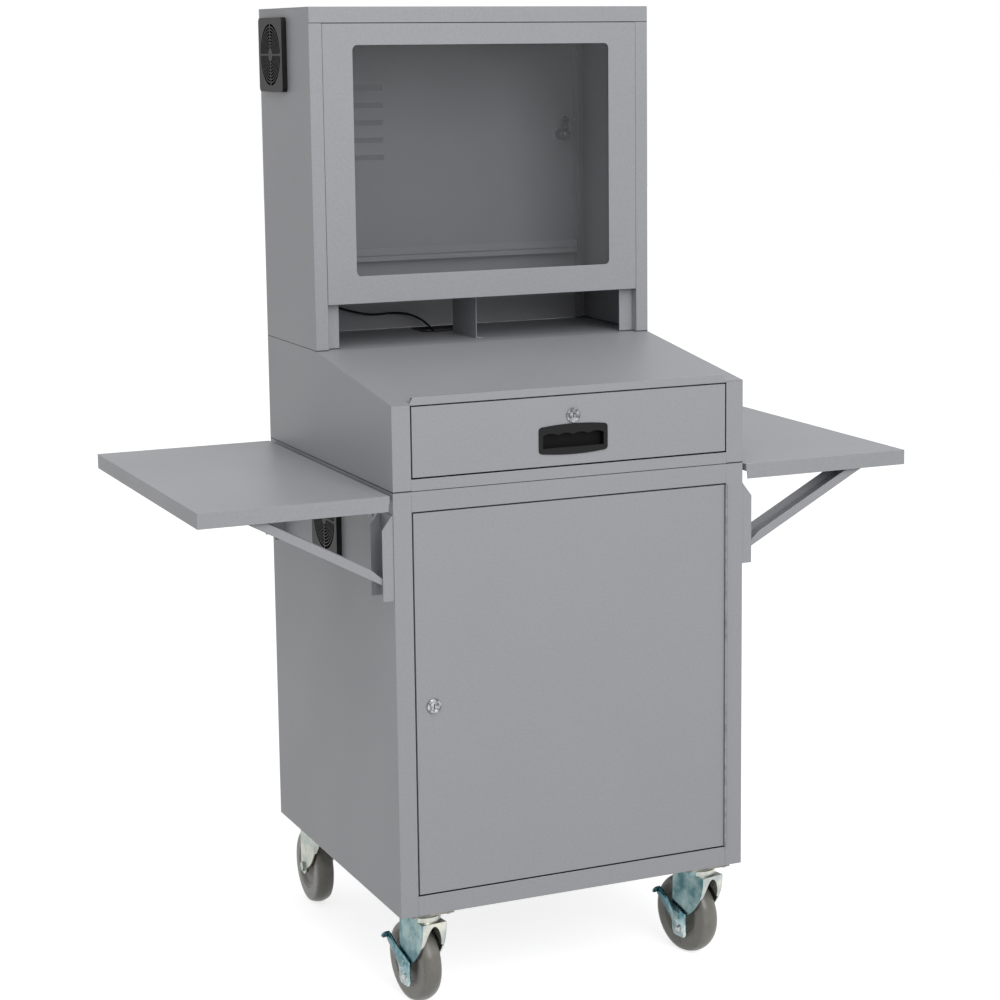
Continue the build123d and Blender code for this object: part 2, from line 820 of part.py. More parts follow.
# Rear door
with BuildPart() as rear_door:
    rear_door_y = (depth - rear_door_depth, depth)
    slab((rear_door_left_x, rear_door_right_x), rear_door_y, (rear_door_low_z, rear_door_high_z))
    slab(
        (rear_door_left_x + sheet, rear_door_right_x - sheet),
        (depth - rear_door_depth, depth - sheet),
        (rear_door_low_z + sheet, rear_door_high_z - sheet),
        Mode.SUBTRACT,
    )
    lock_start = at(rear_lock_x, depth, rear_lock_z)
    extrude(disc(lock_start, (0, -1, 0), lock_barrel_radius), amount=sheet, mode=Mode.SUBTRACT)
    louvre_x = (louvre_right_x - louvre_length, louvre_right_x)
    for row in range(louvre_count):
        z = top_z - louvre_top_drop - row * louvre_pitch
        slab(louvre_x, (depth - sheet, depth), (z - louvre_slot, z), Mode.SUBTRACT)
        hood = [(depth, z + sheet), (depth + louvre_proud, z - louvre_rise)]
        extrude(bent_sheet(sideways(louvre_x[0]), hood), amount=louvre_length)
rear_door.part.label = "rear_door"
export_step(rear_door.part, "parts/rear_door.step")

with BuildPart() as rear_door_leaf:
    standing_leaf(
        rear_axis_x,
        rear_axis_y,
        rear_door_low_z,
        rear_door_high_z,
        True,
        (rear_door_left_x - hinge_leaf, rear_door_left_x),
        (depth - rear_leaf_depth, rear_axis_y - knuckle_reach),
    )
rear_door_leaf.part.label = "rear_door_leaf"
export_step(rear_door_leaf.part, "parts/rear_door_leaf.step")

lock_barrel("rear_lock_barrel", rear_lock_x, depth, rear_lock_z, -1, rear_lock_depth)
lock_plug("rear_lock_plug", rear_lock_x, depth, rear_lock_z, -1, rear_lock_depth, (0, 1))

# Drawer
front_low_z = drawer_bottom_z + door_gap
front_high_z = drawer_top_z - door_gap
pull_middle_z = desk_front_z - pull_drop
pull_low_z = pull_middle_z - pull_height / 2
pull_high_z = pull_middle_z + pull_height / 2
cup_low_z = pull_middle_z - cup_height / 2
cup_high_z = pull_middle_z + cup_height / 2
grip_low_z = pull_middle_z - grip_height / 2
grip_high_z = pull_middle_z + grip_height / 2
drawer_back_y = slide_front_y + slide_length

with BuildPart() as drawer_front:
    slab((-door_half, door_half), (0, drawer_front_depth), (front_low_z, front_high_z))
    hollow_x = door_half - sheet
    slab(
        (-hollow_x, hollow_x),
        (sheet, drawer_front_depth),
        (front_low_z + sheet, front_high_z - sheet),
        Mode.SUBTRACT,
    )
    slab((-cup_half, cup_half), (0, sheet), (cup_low_z, cup_high_z), Mode.SUBTRACT)
    lock_start = at(0, 0, drawer_lock_z)
    extrude(disc(lock_start, (0, 1, 0), lock_barrel_radius), amount=sheet, mode=Mode.SUBTRACT)
drawer_front.part.label = "drawer_front"
export_step(drawer_front.part, "parts/drawer_front.step")

box_low_z = front_low_z + drawer_floor_lift
box_high_z = front_high_z - drawer_wall_drop

with BuildPart() as drawer_box:
    box_x = (-drawer_half_width, drawer_half_width)
    slab(box_x, (drawer_front_depth + sheet, drawer_back_y), (box_low_z, box_high_z))
    hollow_x = drawer_half_width - sheet
    slab(
        (-hollow_x, hollow_x),
        (drawer_front_depth + sheet, drawer_back_y - sheet),
        (box_low_z + sheet, box_high_z),
        Mode.SUBTRACT,
    )
    liner_y = (drawer_front_depth, drawer_front_depth + sheet)
    slab((-door_half, door_half), liner_y, (front_low_z, front_high_z))
    lock_start = at(0, drawer_front_depth, drawer_lock_z)
    extrude(disc(lock_start, (0, 1, 0), lock_barrel_radius), amount=sheet, mode=Mode.SUBTRACT)
drawer_box.part.label = "drawer_box"
export_step(drawer_box.part, "parts/drawer_box.step")

with BuildPart() as drawer_pull:
    with BuildSketch(upright(-pull_bezel)):
        with BuildLine():
            low_left = (-pull_half, pull_low_z + pull_arch)
            low_right = (pull_half, pull_low_z + pull_arch)
            high_left = (-pull_half, pull_high_z - pull_arch)
            high_right = (pull_half, pull_high_z - pull_arch)
            ThreePointArc(low_left, (0, pull_low_z), low_right)
            Line(low_right, high_right)
            ThreePointArc(high_right, (0, pull_high_z), high_left)
            Line(high_left, low_left)
        make_face()
        fillet(vertices(), pull_corner)
    extrude(amount=-pull_bezel)
    slab((-cup_half, cup_half), (0, cup_depth), (cup_low_z, cup_high_z))
    slab(
        (-cup_half + cup_wall, cup_half - cup_wall),
        (sheet, cup_depth - cup_wall),
        (cup_low_z + cup_wall, cup_high_z - cup_wall),
        Mode.SUBTRACT,
    )
    with BuildSketch(upright(-pull_bezel)):
        radius = grip_half / scallops
        with Locations((0, grip_high_z - radius)):
            with GridLocations(2 * radius, 0, scallops, 1):
                Circle(radius)
        with Locations((0, (grip_low_z + grip_high_z - radius) / 2)):
            Rectangle(2 * grip_half, grip_high_z - radius - grip_low_z)
    extrude(amount=-(pull_bezel + sheet), mode=Mode.SUBTRACT)
drawer_pull.part.label = "drawer_pull"
export_step(drawer_pull.part, "parts/drawer_pull.step")

lock_barrel("drawer_lock_barrel", 0, 0, drawer_lock_z, 1, drawer_lock_depth)
lock_plug("drawer_lock_plug", 0, 0, drawer_lock_z, 1, drawer_lock_depth, (1, 0))

# Drawer slides, three nested channels on each side
slide_middle_z = desk_front_z - slide_drop
middle_height = slide_inner_height + 2 * (sheet + slide_play)
outer_height = middle_height + 2 * (sheet + slide_play)
middle_web_x = opening - slide_wall_gap
outer_web_x = middle_web_x + slide_play + sheet
middle_tip_x = middle_web_x - slide_flange
inner_tip_x = middle_web_x - sheet - slide_tip_gap


def slide_channel(web_x, tip_x, height, y):
    """Section of a channel that opens toward its tips."""
    low = slide_middle_z - height / 2
    high = slide_middle_z + height / 2
    path = [(tip_x, high), (web_x, high), (web_x, low), (tip_x, low)]
    if tip_x > web_x:
        path.reverse()
    return bent_sheet(upright(y), path)


spacer_places = (slide_front_y + spacer_inset, drawer_back_y - spacer_inset - spacer_width)

with BuildPart() as slide_outer:
    section = slide_channel(outer_web_x, middle_tip_x, outer_height, slide_front_y)
    extrude(section, amount=-slide_length)
    for y in spacer_places:
        path = [(inner, y + spacer_width), (inner, y), (outer_web_x, y), (outer_web_x, y + spacer_width)]
        extrude(bent_sheet(level(slide_middle_z - spacer_height / 2), path), amount=spacer_height)
    mirror(about=Plane.YZ)
slide_outer.part.label = "slide_outer"
export_step(slide_outer.part, "parts/slide_outer.step")

with BuildPart() as slide_middle:
    section = slide_channel(middle_web_x, middle_tip_x, middle_height, slide_front_y)
    extrude(section, amount=-slide_length)
    mirror(about=Plane.YZ)
slide_middle.part.label = "slide_middle"
export_step(slide_middle.part, "parts/slide_middle.step")

with BuildPart() as slide_inner:
    section = slide_channel(drawer_half_width, inner_tip_x, slide_inner_height, slide_front_y)
    extrude(section, amount=-slide_length)
    mirror(about=Plane.YZ)
slide_inner.part.label = "slide_inner"
export_step(slide_inner.part, "parts/slide_inner.step")

# Side shelves, drawn on the right and mirrored for the left
shelf_in_x = half + shelf_side_gap
shelf_out_x = shelf_in_x + shelf_reach
shelf_low_z = shelf_top_z - shelf_edge
shelf_axis_x = half + shelf_hinge_offset
shelf_axis_z = shelf_low_z
shelf_back_y = depth - shelf_back_gap
shelf_hinge_back_y = depth - shelf_hinge_back_gap - shelf_hinge_length
shelf_hinge_places = (shelf_hinge_front_y, shelf_hinge_back_y)


def shelf_knuckle_spans(y):
    """The two end knuckles and the middle one of a shelf hinge."""
    third = shelf_hinge_length / 3
    ends = [(y, y + third - segment_gap / 2), (y + 2 * third + segment_gap / 2, y + 3 * third)]
    return ends, [(y + third + segment_gap / 2, y + 2 * third - segment_gap / 2)]


def lying_knuckles(spans, radius, mode=Mode.ADD):
    """Round lengths along the shelf's hinge axis."""
    for low, high in spans:
        start = at(shelf_axis_x, low, shelf_axis_z)
        extrude(disc(start, (0, 1, 0), radius), amount=high - low, mode=mode)


with BuildPart() as shelf_hinge_butts:
    for y in shelf_hinge_places:
        ends = shelf_knuckle_spans(y)[0]
        whole = (y, y + shelf_hinge_length)
        slab((half, half + shelf_leaf), whole, (shelf_axis_z - shelf_leaf_drop, shelf_axis_z))
        for low, high in ends:
            slab((half, shelf_axis_x), (low, high), (shelf_axis_z - shelf_knuckle, shelf_axis_z))
        lying_knuckles(ends, shelf_knuckle)
        lying_knuckles([whole], shelf_pin)
    mirror(about=Plane.YZ)
shelf_hinge_butts.part.label = "shelf_hinge_butts"
export_step(shelf_hinge_butts.part, "parts/shelf_hinge_butts.step")


def side_shelf(name, left):
    """Shallow steel pan with folded edges and the moving leaves of its two hinges."""
    with BuildPart() as shelf:
        path = [
            (shelf_in_x, shelf_top_z - shelf_inner_edge),
            (shelf_in_x, shelf_top_z),
            (shelf_out_x, shelf_top_z),
            (shelf_out_x, shelf_low_z),
        ]
        extrude(bent_sheet(upright(shelf_front_y), path), amount=shelf_front_y - shelf_back_y)
        end = [
            (shelf_in_x, shelf_top_z),
            (shelf_out_x, shelf_top_z),
            (shelf_out_x, shelf_low_z),
            (shelf_in_x + shelf_cut, shelf_low_z),
        ]
        extrude(outline(upright(shelf_front_y), end), amount=-sheet)
        extrude(outline(upright(shelf_back_y - sheet), end), amount=-sheet)
        for y in shelf_hinge_places:
            middle = shelf_knuckle_spans(y)[1]
            leaf_x = (shelf_in_x - shelf_leaf, shelf_in_x)
            whole = (y, y + shelf_hinge_length)
            slab(leaf_x, whole, (shelf_axis_z + shelf_knuckle + knuckle_relief, shelf_top_z - sheet))
            for low, high in middle:
                slab(leaf_x, (low, high), (shelf_axis_z, shelf_top_z - sheet))
            lying_knuckles(middle, shelf_knuckle)
            lying_knuckles(middle, shelf_pin + fit, Mode.SUBTRACT)
        if left:
            mirror(about=Plane.YZ, mode=Mode.REPLACE)
    shelf.part.label = name
    export_step(shelf.part, f"parts/{name}.step")


side_shelf("right_shelf", False)
side_shelf("left_shelf", True)

bracket_out_x = half + bracket_depth
pivot_x = half + brace_pivot_out
bracket_places = (bracket_front_gap, depth - bracket_rear_gap - bracket_width)


def brackets(name, left):
    """Front and rear channel of one side, each with the pin that its brace turns on."""
    with BuildPart() as pair:
        for y in bracket_places:
            path = [
                (bracket_out_x, y),
                (half, y),
                (half, y + bracket_width),
                (bracket_out_x, y + bracket_width),
            ]
            extrude(bent_sheet(level(bracket_bottom_z), path), amount=bracket_height)
            corner = [
                (half + sheet, bracket_top_z),
                (bracket_out_x, bracket_top_z - bracket_chamfer),
                (bracket_out_x, bracket_top_z),
            ]
            extrude(outline(upright(y), corner), amount=-bracket_width, mode=Mode.SUBTRACT)
            pin_start = at(pivot_x, y, brace_pivot_z)
            extrude(disc(pin_start, (0, 1, 0), brace_pin / 2), amount=bracket_width)
        if left:
            mirror(about=Plane.YZ, mode=Mode.REPLACE)
    pair.part.label = name
    export_step(pair.part, f"parts/{name}.step")


brackets("right_brackets", False)
brackets("left_brackets", True)

brace_rise = shelf_top_z - sheet - brace_tip_gap - brace_pivot_z
slant = radians(brace_angle)


def brace_end(w):
    """Length of the brace at a height across it, where its tip lies level under the shelf."""
    return (brace_rise - w * cos(slant)) / sin(slant)


tip_width = (brace_rise - brace_length * sin(slant)) / cos(slant)


def braces(name, left):
    """Front and rear brace of one side, channels that open up and inward."""
    with BuildPart() as pair:
        for y in bracket_places:
            first_y = y + (bracket_width - brace_width) / 2
            tilted = Plane(
                origin=at(pivot_x, first_y, brace_pivot_z),
                x_dir=(cos(slant), 0, sin(slant)),
                z_dir=(0, -1, 0),
            )
            with BuildSketch(tilted):
                with BuildLine():
                    Polyline(
                        (0, -brace_below),
                        (brace_length, -brace_below),
                        (brace_length, tip_width),
                        (brace_end(brace_above), brace_above),
                        (brace_notch, brace_above),
                        (0, 0),
                        close=True,
                    )
                make_face()
                Circle(brace_end_radius)
            extrude(amount=-brace_width)
            hollow = tilted.offset(-sheet)
            with BuildSketch(hollow):
                with BuildLine():
                    Polyline(
                        (-2 * brace_end_radius, sheet - brace_below),
                        (brace_length + brace_above, sheet - brace_below),
                        (brace_length + brace_above, 2 * brace_above),
                        (-2 * brace_end_radius, 2 * brace_above),
                        close=True,
                    )
                make_face()
                Rectangle(2 * brace_web_start, 4 * brace_above)
            extrude(amount=2 * sheet - brace_width, mode=Mode.SUBTRACT)
            pin_start = at(pivot_x, first_y, brace_pivot_z)
            bore = brace_pin / 2 + fit
            extrude(disc(pin_start, (0, 1, 0), bore), amount=brace_width, mode=Mode.SUBTRACT)
        if left:
            mirror(about=Plane.YZ, mode=Mode.REPLACE)
    pair.part.label = name
    export_step(pair.part, f"parts/{name}.step")


braces("right_braces", False)
braces("left_braces", True)

# Casters
race_z = base_z - plate_thickness
fork_top = race_z - upper_race_height - race_gap - lower_race_height
fork_outer = hub_width + 2 * (hub_play + fork_sheet)
arch_radius = wheel_radius + arch_gap
caster_places = {
    "front_left": (-half + caster_inset_x, caster_inset_y),
    "front_right": (half - caster_inset_x, caster_inset_y),
    "rear_left": (-half + caster_inset_x, depth - caster_inset_y),
    "rear_right": (half - caster_inset_x, depth - caster_inset_y),
}

with BuildPart() as caster_plates:
    for x, y in caster_places.values():
        slab((x - plate_x / 2, x + plate_x / 2), (y - plate_y / 2, y + plate_y / 2), (race_z, base_z))
        extrude(disc(at(x, y, race_z), (0, 0, -1), race_radius), amount=upper_race_height)
        pin_length = race_z - fork_top + fork_plate
        extrude(disc(at(x, y, race_z), (0, 0, -1), kingpin_radius), amount=pin_length)
caster_plates.part.label = "caster_plates"
export_step(caster_plates.part, "parts/caster_plates.step")


def trail_plane(name, shift=0.0):
    """Upright plane of one wheel, local x along the trail from the swivel axis and local y up."""
    x, y = caster_places[name]
    yaw = radians(wheel_yaw[name])
    trail = Vector(-sin(yaw), cos(yaw), 0)
    across = Vector(cos(yaw), sin(yaw), 0)
    origin = Vector(*at(x, y, 0)) + across * shift
    return Plane(origin=origin, x_dir=trail, z_dir=across)


def fork(name):
    """Pressed fork with tapering legs, an arched front, its race and its axle."""
    place = f"caster_fork_{name}"
    with BuildPart() as piece:
        with BuildSketch(trail_plane(name, -fork_outer / 2)):
            with BuildLine():
                heel = (caster_trail + fork_tip, wheel_radius)
                toe = (caster_trail - fork_tip, wheel_radius)
                back_top = (fork_back, fork_top)
                front_top = (-fork_front, fork_top)
                ThreePointArc(heel, (caster_trail, wheel_radius - fork_tip), toe)
                Line(heel, back_top)
                Line(back_top, front_top)
                ThreePointArc(front_top, (-fork_front / 2, fork_arch * fork_top), toe)
            make_face()
        extrude(amount=fork_outer)
        inside = fork_outer - 2 * fork_sheet
        with BuildSketch(trail_plane(name, -inside / 2)):
            with Locations((caster_trail, wheel_radius)):
                Circle(arch_radius)
            with Locations((fork_back - fork_sheet, (fork_top - fork_plate) / 2)):
                Rectangle(2 * fork_back, fork_top - fork_plate)
        extrude(amount=inside, mode=Mode.SUBTRACT)
        x, y = caster_places[name]
        extrude(disc(at(x, y, fork_top), (0, 0, 1), race_radius), amount=lower_race_height)
        bore = kingpin_radius + fit
        bore_length = lower_race_height + fork_plate
        bore_start = at(x, y, fork_top - fork_plate)
        extrude(disc(bore_start, (0, 0, 1), bore), amount=bore_length, mode=Mode.SUBTRACT)
        with BuildSketch(trail_plane(name, -fork_outer / 2)):
            with Locations((caster_trail, wheel_radius)):
                Circle(axle_radius)
        extrude(amount=fork_outer)
        nut_shift = -fork_outer / 2 if name.startswith("rear") else fork_outer / 2
        with BuildSketch(trail_plane(name, nut_shift)):
            with Locations((caster_trail, wheel_radius)):
                RegularPolygon(axle_radius + nut_rim, 6)
        extrude(amount=nut_thickness if nut_shift > 0 else -nut_thickness)
        with BuildSketch(trail_plane(name, -nut_shift)):
            with Locations((caster_trail, wheel_radius)):
                Circle(boss_radius)
        extrude(amount=-boss_length if nut_shift > 0 else nut_thickness)
    piece.part.label = place
    export_step(piece.part, f"parts/{place}.step")


def wheel(name):
    """Rounded tread on a recessed core with a bored hub."""
    place = f"caster_wheel_{name}"
    plane = trail_plane(name)
    axle = plane.from_local_coords((caster_trail, wheel_radius, 0))
    section = Plane(origin=axle, x_dir=(0, 0, 1), z_dir=plane.x_dir)
    side = wheel_width / 2
    bore = axle_radius + fit
    with BuildPart() as piece:
        with BuildSketch(section):
            with BuildLine():
                Polyline(
                    (wheel_radius - tyre_round, side),
                    (rim_radius, side),
                    (rim_radius - rim_recess, side - rim_recess),
                    (hub_radius, side - rim_recess),
                    (hub_radius, hub_width / 2),
                    (bore, hub_width / 2),
                    (bore, -hub_width / 2),
                    (hub_radius, -hub_width / 2),
                    (hub_radius, rim_recess - side),
                    (rim_radius - rim_recess, rim_recess - side),
                    (rim_radius, -side),
                    (wheel_radius - tyre_round, -side),
                )
                shoulder = wheel_radius - tyre_round
                ThreePointArc((shoulder, -side), (wheel_radius, 0), (shoulder, side))
            make_face()
        revolve(axis=Axis(axle, plane.z_dir))
    piece.part.label = place
    export_step(piece.part, f"parts/{place}.step")


lever_shift = -fork_outer / 2 - lever_gap


def brake_lever(name):
    """Side lever that locks the axle, with a turned-out pedal and a lower tab."""
    place = f"brake_lever_{name}"
    with BuildPart() as piece:
        plane = trail_plane(name, lever_shift)
        hub = (caster_trail, wheel_radius)
        tip = (caster_trail + lever_reach[0], wheel_radius + lever_reach[1])
        length = hypot(*lever_reach)
        turn = degrees(atan2(lever_reach[1], lever_reach[0]))
        middle = ((hub[0] + tip[0]) / 2, (hub[1] + tip[1]) / 2)
        with BuildSketch(plane):
            with Locations(Location((middle[0], middle[1]), turn)):
                SlotCenterToCenter(length, lever_width)
            with Locations((hub[0], hub[1] - lever_tab / 2)):
                SlotCenterToCenter(lever_tab, lever_width, rotation=90)
            with Locations(hub):
                Circle(boss_radius + lever_collar)
        extrude(amount=-lever_thickness)
        with BuildSketch(plane):
            with Locations(Location((tip[0], tip[1]), turn)):
                Rectangle(lever_pedal_width, lever_thickness)
        extrude(amount=-lever_pedal)
        with BuildSketch(plane):
            with Locations(hub):
                Circle(boss_radius + fit)
        extrude(amount=-lever_thickness, mode=Mode.SUBTRACT)
    piece.part.label = place
    export_step(piece.part, f"parts/{place}.step")


for corner_name in caster_places:
    fork(corner_name)
    wheel(corner_name)
brake_lever("front_left")
brake_lever("front_right")

# Fan lead, held by the cabinet from the upper fan to the lower one. Heights count from the desk top.
gland_low = upper_fan_z - fan_frame / 2 - fan_gland_length - desk_z
gland_back = lower_fan_y + fan_frame / 2 + fan_gland_length
lower_lead_z = lower_fan_z - desk_z
cord_points = [
    (fan_lead_x, upper_fan_y, gland_low),
    (fan_lead_x, upper_fan_y, gland_low - 26),
    (fan_lead_x + 10, upper_fan_y + 18, 372),
    (-276, 575, 340),
    (-274, 588, 295),
    (-277, 591, 242),
    (-273, 589, 188),
    (-276, 591, 134),
    (-268, 590, 88),
    (-238, 591, 58),
    (-196, 590, 48),
    (-155, 591, 35),
    (-120, 590, 28),
    (-82, 589, 31),
    (-50, 588, 27),
    (-24, 583, 13),
    (-6, 573, -8),
    (2, 562, -40),
    (-2, 556, -85),
    (1, 557, -132),
    (-6, 556, -174),
    (-28, 558, -204),
    (-66, 560, -218),
    (-112, 557, -222),
    (-160, 553, -221),
    (-208, 543, -224),
    (-246, 520, -226),
    (-268, 486, -230),
    (-282, 450, -242),
    (fan_lead_x - 2, gland_back + 46, lower_lead_z + 15),
    (fan_lead_x, gland_back + 20, lower_lead_z),
    (fan_lead_x, gland_back, lower_lead_z),
]


def bend_radii(points):
    """Largest arc that the two runs at each corner allow."""
    radii = []
    for a, b, c in zip(points, points[1:], points[2:]):
        run = Vector(*b) - Vector(*a)
        after = Vector(*c) - Vector(*b)
        turn = radians(run.get_angle(after))
        radii.append(arc_share * min(run.length, after.length) / tan(turn / 2))
    return radii


with BuildPart() as fan_lead:
    route = [at(x, y, desk_z + z) for x, y, z in cord_points]
    radii = bend_radii(route)
    with BuildLine() as lead_path:
        FilletPolyline(*route, radius=radii)
    with BuildSketch(Plane(origin=route[0], z_dir=(0, 0, -1))):
        Circle(cord_radius)
    sweep()
fan_lead.part.label = "fan_lead"
export_step(fan_lead.part, "parts/fan_lead.step")

lead_length = lead_path.wire().length
print("cord radii", [round(r) for r in radii])
print("cord length", round(lead_length))
print("volume ratio", round(fan_lead.part.volume / (pi * cord_radius**2 * lead_length), 4))
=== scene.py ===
# %% [markdown]
# # A mobile computer cabinet
# The object is a steel cabinet on casters: a cupboard below, a drawer under a sloping desk, a
# housing with a window above, and a folding shelf on each side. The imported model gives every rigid
# part at its real place. This lesson adds what the eye looks for: soft folded edges, powder coat,
# zinc, chrome and rubber finishes, screws, and the thin black lead that hangs between the two fans.

# %% Load the fixed frame
import json
import math

import bmesh
import bpy
from mathutils import Matrix, Vector


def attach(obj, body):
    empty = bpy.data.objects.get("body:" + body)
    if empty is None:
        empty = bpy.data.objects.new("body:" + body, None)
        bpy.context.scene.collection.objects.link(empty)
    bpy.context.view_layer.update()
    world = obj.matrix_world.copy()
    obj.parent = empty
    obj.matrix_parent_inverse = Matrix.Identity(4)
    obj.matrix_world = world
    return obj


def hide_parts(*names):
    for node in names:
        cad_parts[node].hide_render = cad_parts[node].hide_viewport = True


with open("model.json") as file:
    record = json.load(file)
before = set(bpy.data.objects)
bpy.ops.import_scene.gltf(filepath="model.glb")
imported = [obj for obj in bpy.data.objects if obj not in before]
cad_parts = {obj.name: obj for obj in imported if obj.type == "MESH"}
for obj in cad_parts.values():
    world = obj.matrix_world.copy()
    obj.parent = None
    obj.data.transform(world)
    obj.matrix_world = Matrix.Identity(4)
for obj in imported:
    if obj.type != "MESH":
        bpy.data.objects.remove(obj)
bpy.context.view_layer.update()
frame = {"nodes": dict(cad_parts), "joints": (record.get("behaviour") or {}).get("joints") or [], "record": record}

nodes = frame["nodes"]
joints = {joint["name"]: joint for joint in frame["joints"]}
MM = 0.001

# %% [markdown]
# ## The camera
# The photograph was taken from the left front with a long lens. Its direction, roll and principal
# point were solved from the cabinet's own straight edges, so the lens, the place and the small
# shift are written here as plain values. The principal point is a pixel of the picture, and the
# shift is worked out from it.

# %% Set up the camera
PICTURE = 1000.0
FOCAL_PIXELS = 2410.2
PRINCIPAL_X = 553.85
PRINCIPAL_Y = 437.09
SENSOR = 36.0
FARTHEST = 50.0
AZIMUTH = math.radians(-24.56)
ELEVATION = math.radians(9.25)
ROLL = math.radians(-0.49)
CAMERA_PLACE = Vector((-1.6176, -3.7936, 1.5552))
UP = Vector((0, 0, 1))


def new_object(name, data):
    """Object in the scene for a camera, a lamp, a curve or a mesh."""
    made = bpy.data.objects.new(name, data)
    bpy.context.scene.collection.objects.link(made)
    return made


backward = Vector((
    math.sin(AZIMUTH) * math.cos(ELEVATION),
    -math.cos(AZIMUTH) * math.cos(ELEVATION),
    math.sin(ELEVATION),
))
level_right = UP.cross(backward).normalized()
level_up = backward.cross(level_right)
right = math.cos(ROLL) * level_right + math.sin(ROLL) * level_up
upward = -math.sin(ROLL) * level_right + math.cos(ROLL) * level_up

lens = bpy.data.cameras.new("photo_camera")
lens.sensor_width = SENSOR
lens.lens = SENSOR * FOCAL_PIXELS / PICTURE
lens.shift_x = 0.5 - PRINCIPAL_X / PICTURE
lens.shift_y = PRINCIPAL_Y / PICTURE - 0.5
lens.clip_end = FARTHEST
camera = new_object("photo_camera", lens)
turn = Matrix((right, upward, backward)).transposed().to_4x4()
camera.matrix_world = Matrix.Translation(CAMERA_PLACE) @ turn
bpy.context.scene.camera = camera
print("lens", round(lens.lens, 1), "mm")

# %% [markdown]
# ## Sums on shader sockets
# A finish is easier to read as a sum than as a list of nodes. `Signal` wraps one socket, so that
# `0.9 + 0.1 * cloud` adds its own Math nodes. `ShaderTree` makes any node from its type, its
# settings and its inputs, and `Finish` is such a tree with a material around it.

# %% Define the shader helpers
class Signal:
    """One number that a shader works out, ready for plain sums."""

    def __init__(self, owner, socket):
        self.owner = owner
        self.socket = socket

    def maths(self, operation, first, second=0.0):
        """Result of one Math node."""
        return self.owner.node("ShaderNodeMath", {"operation": operation}, {0: first, 1: second})

    def __add__(self, other):
        return self.maths("ADD", self, other)

    def __radd__(self, other):
        return self.maths("ADD", other, self)

    def __sub__(self, other):
        return self.maths("SUBTRACT", self, other)

    def __rsub__(self, other):
        return self.maths("SUBTRACT", other, self)

    def __mul__(self, other):
        return self.maths("MULTIPLY", self, other)

    def __rmul__(self, other):
        return self.maths("MULTIPLY", other, self)

    def __abs__(self):
        return self.maths("ABSOLUTE", self)

    def larger_of(self, other):
        """The larger of two numbers."""
        return self.maths("MAXIMUM", self, other)

    def between(self, low, high):
        """0 at low, 1 at high and a smooth rise between them."""
        settings = {"interpolation_type": "SMOOTHSTEP"}
        return self.owner.node("ShaderNodeMapRange", settings, {0: self, 1: low, 2: high})


class ShaderTree:
    """The nodes of a shader and the one method that adds a node to them."""

    def __init__(self, tree):
        self.tree = tree
        self.tree.nodes.clear()

    def node(self, kind, settings=None, inputs=None, output=0):
        """Output of a new node with its settings, then the values or links of its sockets."""
        made = self.tree.nodes.new(kind)
        for name, value in (settings or {}).items():
            setattr(made, name, value)
        for key, value in (inputs or {}).items():
            if isinstance(value, Signal):
                self.tree.links.new(value.socket, made.inputs[key])
            else:
                made.inputs[key].default_value = value
        return Signal(self, made.outputs[output])

    def ray(self, kind):
        """1 for rays of one kind and 0 for all others."""
        return self.node("ShaderNodeLightPath", None, None, "Is " + kind + " Ray")

    def seen(self):
        """1 for what the camera sees directly, in a gloss or through the glazing."""
        return self.ray("Camera").larger_of(self.ray("Glossy").larger_of(self.ray("Transmission")))

    def end(self, kind, shader):
        """Lead a shader to the output node of the tree."""
        output = self.tree.nodes.new(kind)
        self.tree.links.new(shader.socket, output.inputs["Surface"])


class Finish(ShaderTree):
    """A material whose patterns are laid out on the piece as it stands at rest."""

    def __init__(self, name):
        self.material = bpy.data.materials.new(name)
        self.material.use_nodes = True
        super().__init__(self.material.node_tree)
        self.place = self.node("ShaderNodeTexCoord", None, None, "Object")

    def noise(self, scale, detail=2.0):
        """Soft random pattern with features of about one over scale metres."""
        inputs = {"Vector": self.place, "Scale": scale, "Detail": detail}
        return self.node("ShaderNodeTexNoise", None, inputs)

    def blend(self, factor, low, high):
        """Colour between two colours."""
        inputs = {0: factor, 6: low, 7: high}
        return self.node("ShaderNodeMix", {"data_type": "RGBA"}, inputs, 2)

    def bump(self, height, distance):
        """Normal of a fine relief."""
        inputs = {"Height": height, "Distance": distance, "Strength": 1.0}
        return self.node("ShaderNodeBump", None, inputs)

    def along(self, axis):
        """Place along one axis of the frame, X, Y or Z, as the piece stands at rest."""
        return self.node("ShaderNodeSeparateXYZ", None, {"Vector": self.place}, axis)

    def surface(self, **inputs):
        """Principled surface; each value is named as its socket, with underscores for spaces."""
        named = {name.replace("_", " "): value for name, value in inputs.items()}
        shader = self.node("ShaderNodeBsdfPrincipled", None, named)
        self.end("ShaderNodeOutputMaterial", shader)
        return self.material


def colour(red, green, blue):
    """Colour with full alpha, in linear values."""
    return (red, green, blue, 1.0)


print("shader helpers ready")

# %% [markdown]
# ## Powder coat
# Nearly every sheet of the cabinet has the same grey powder coat. Close up it is a fine orange
# peel with a faint speckle, and from afar its tone drifts a little. The cabinet is stacked from
# sections, and a thin open joint lies in shade where one stands on another. That shade is painted:
# the line lies at a known height, so the same finish darkens just there, and no extra strip is needed.

# %% Make the powder coat
COAT_DARK = colour(0.292, 0.297, 0.316)
COAT_LIGHT = colour(0.338, 0.343, 0.363)
SPECKLE_SHARE = 0.6
# Painted shade: the dark colour of the open joints between sections.
PAINTED_JOINT_SHADE = colour(0.035, 0.035, 0.038)
JOINT_EDGE = 0.3 * MM
FINE_RELIEF = 0.03 * MM


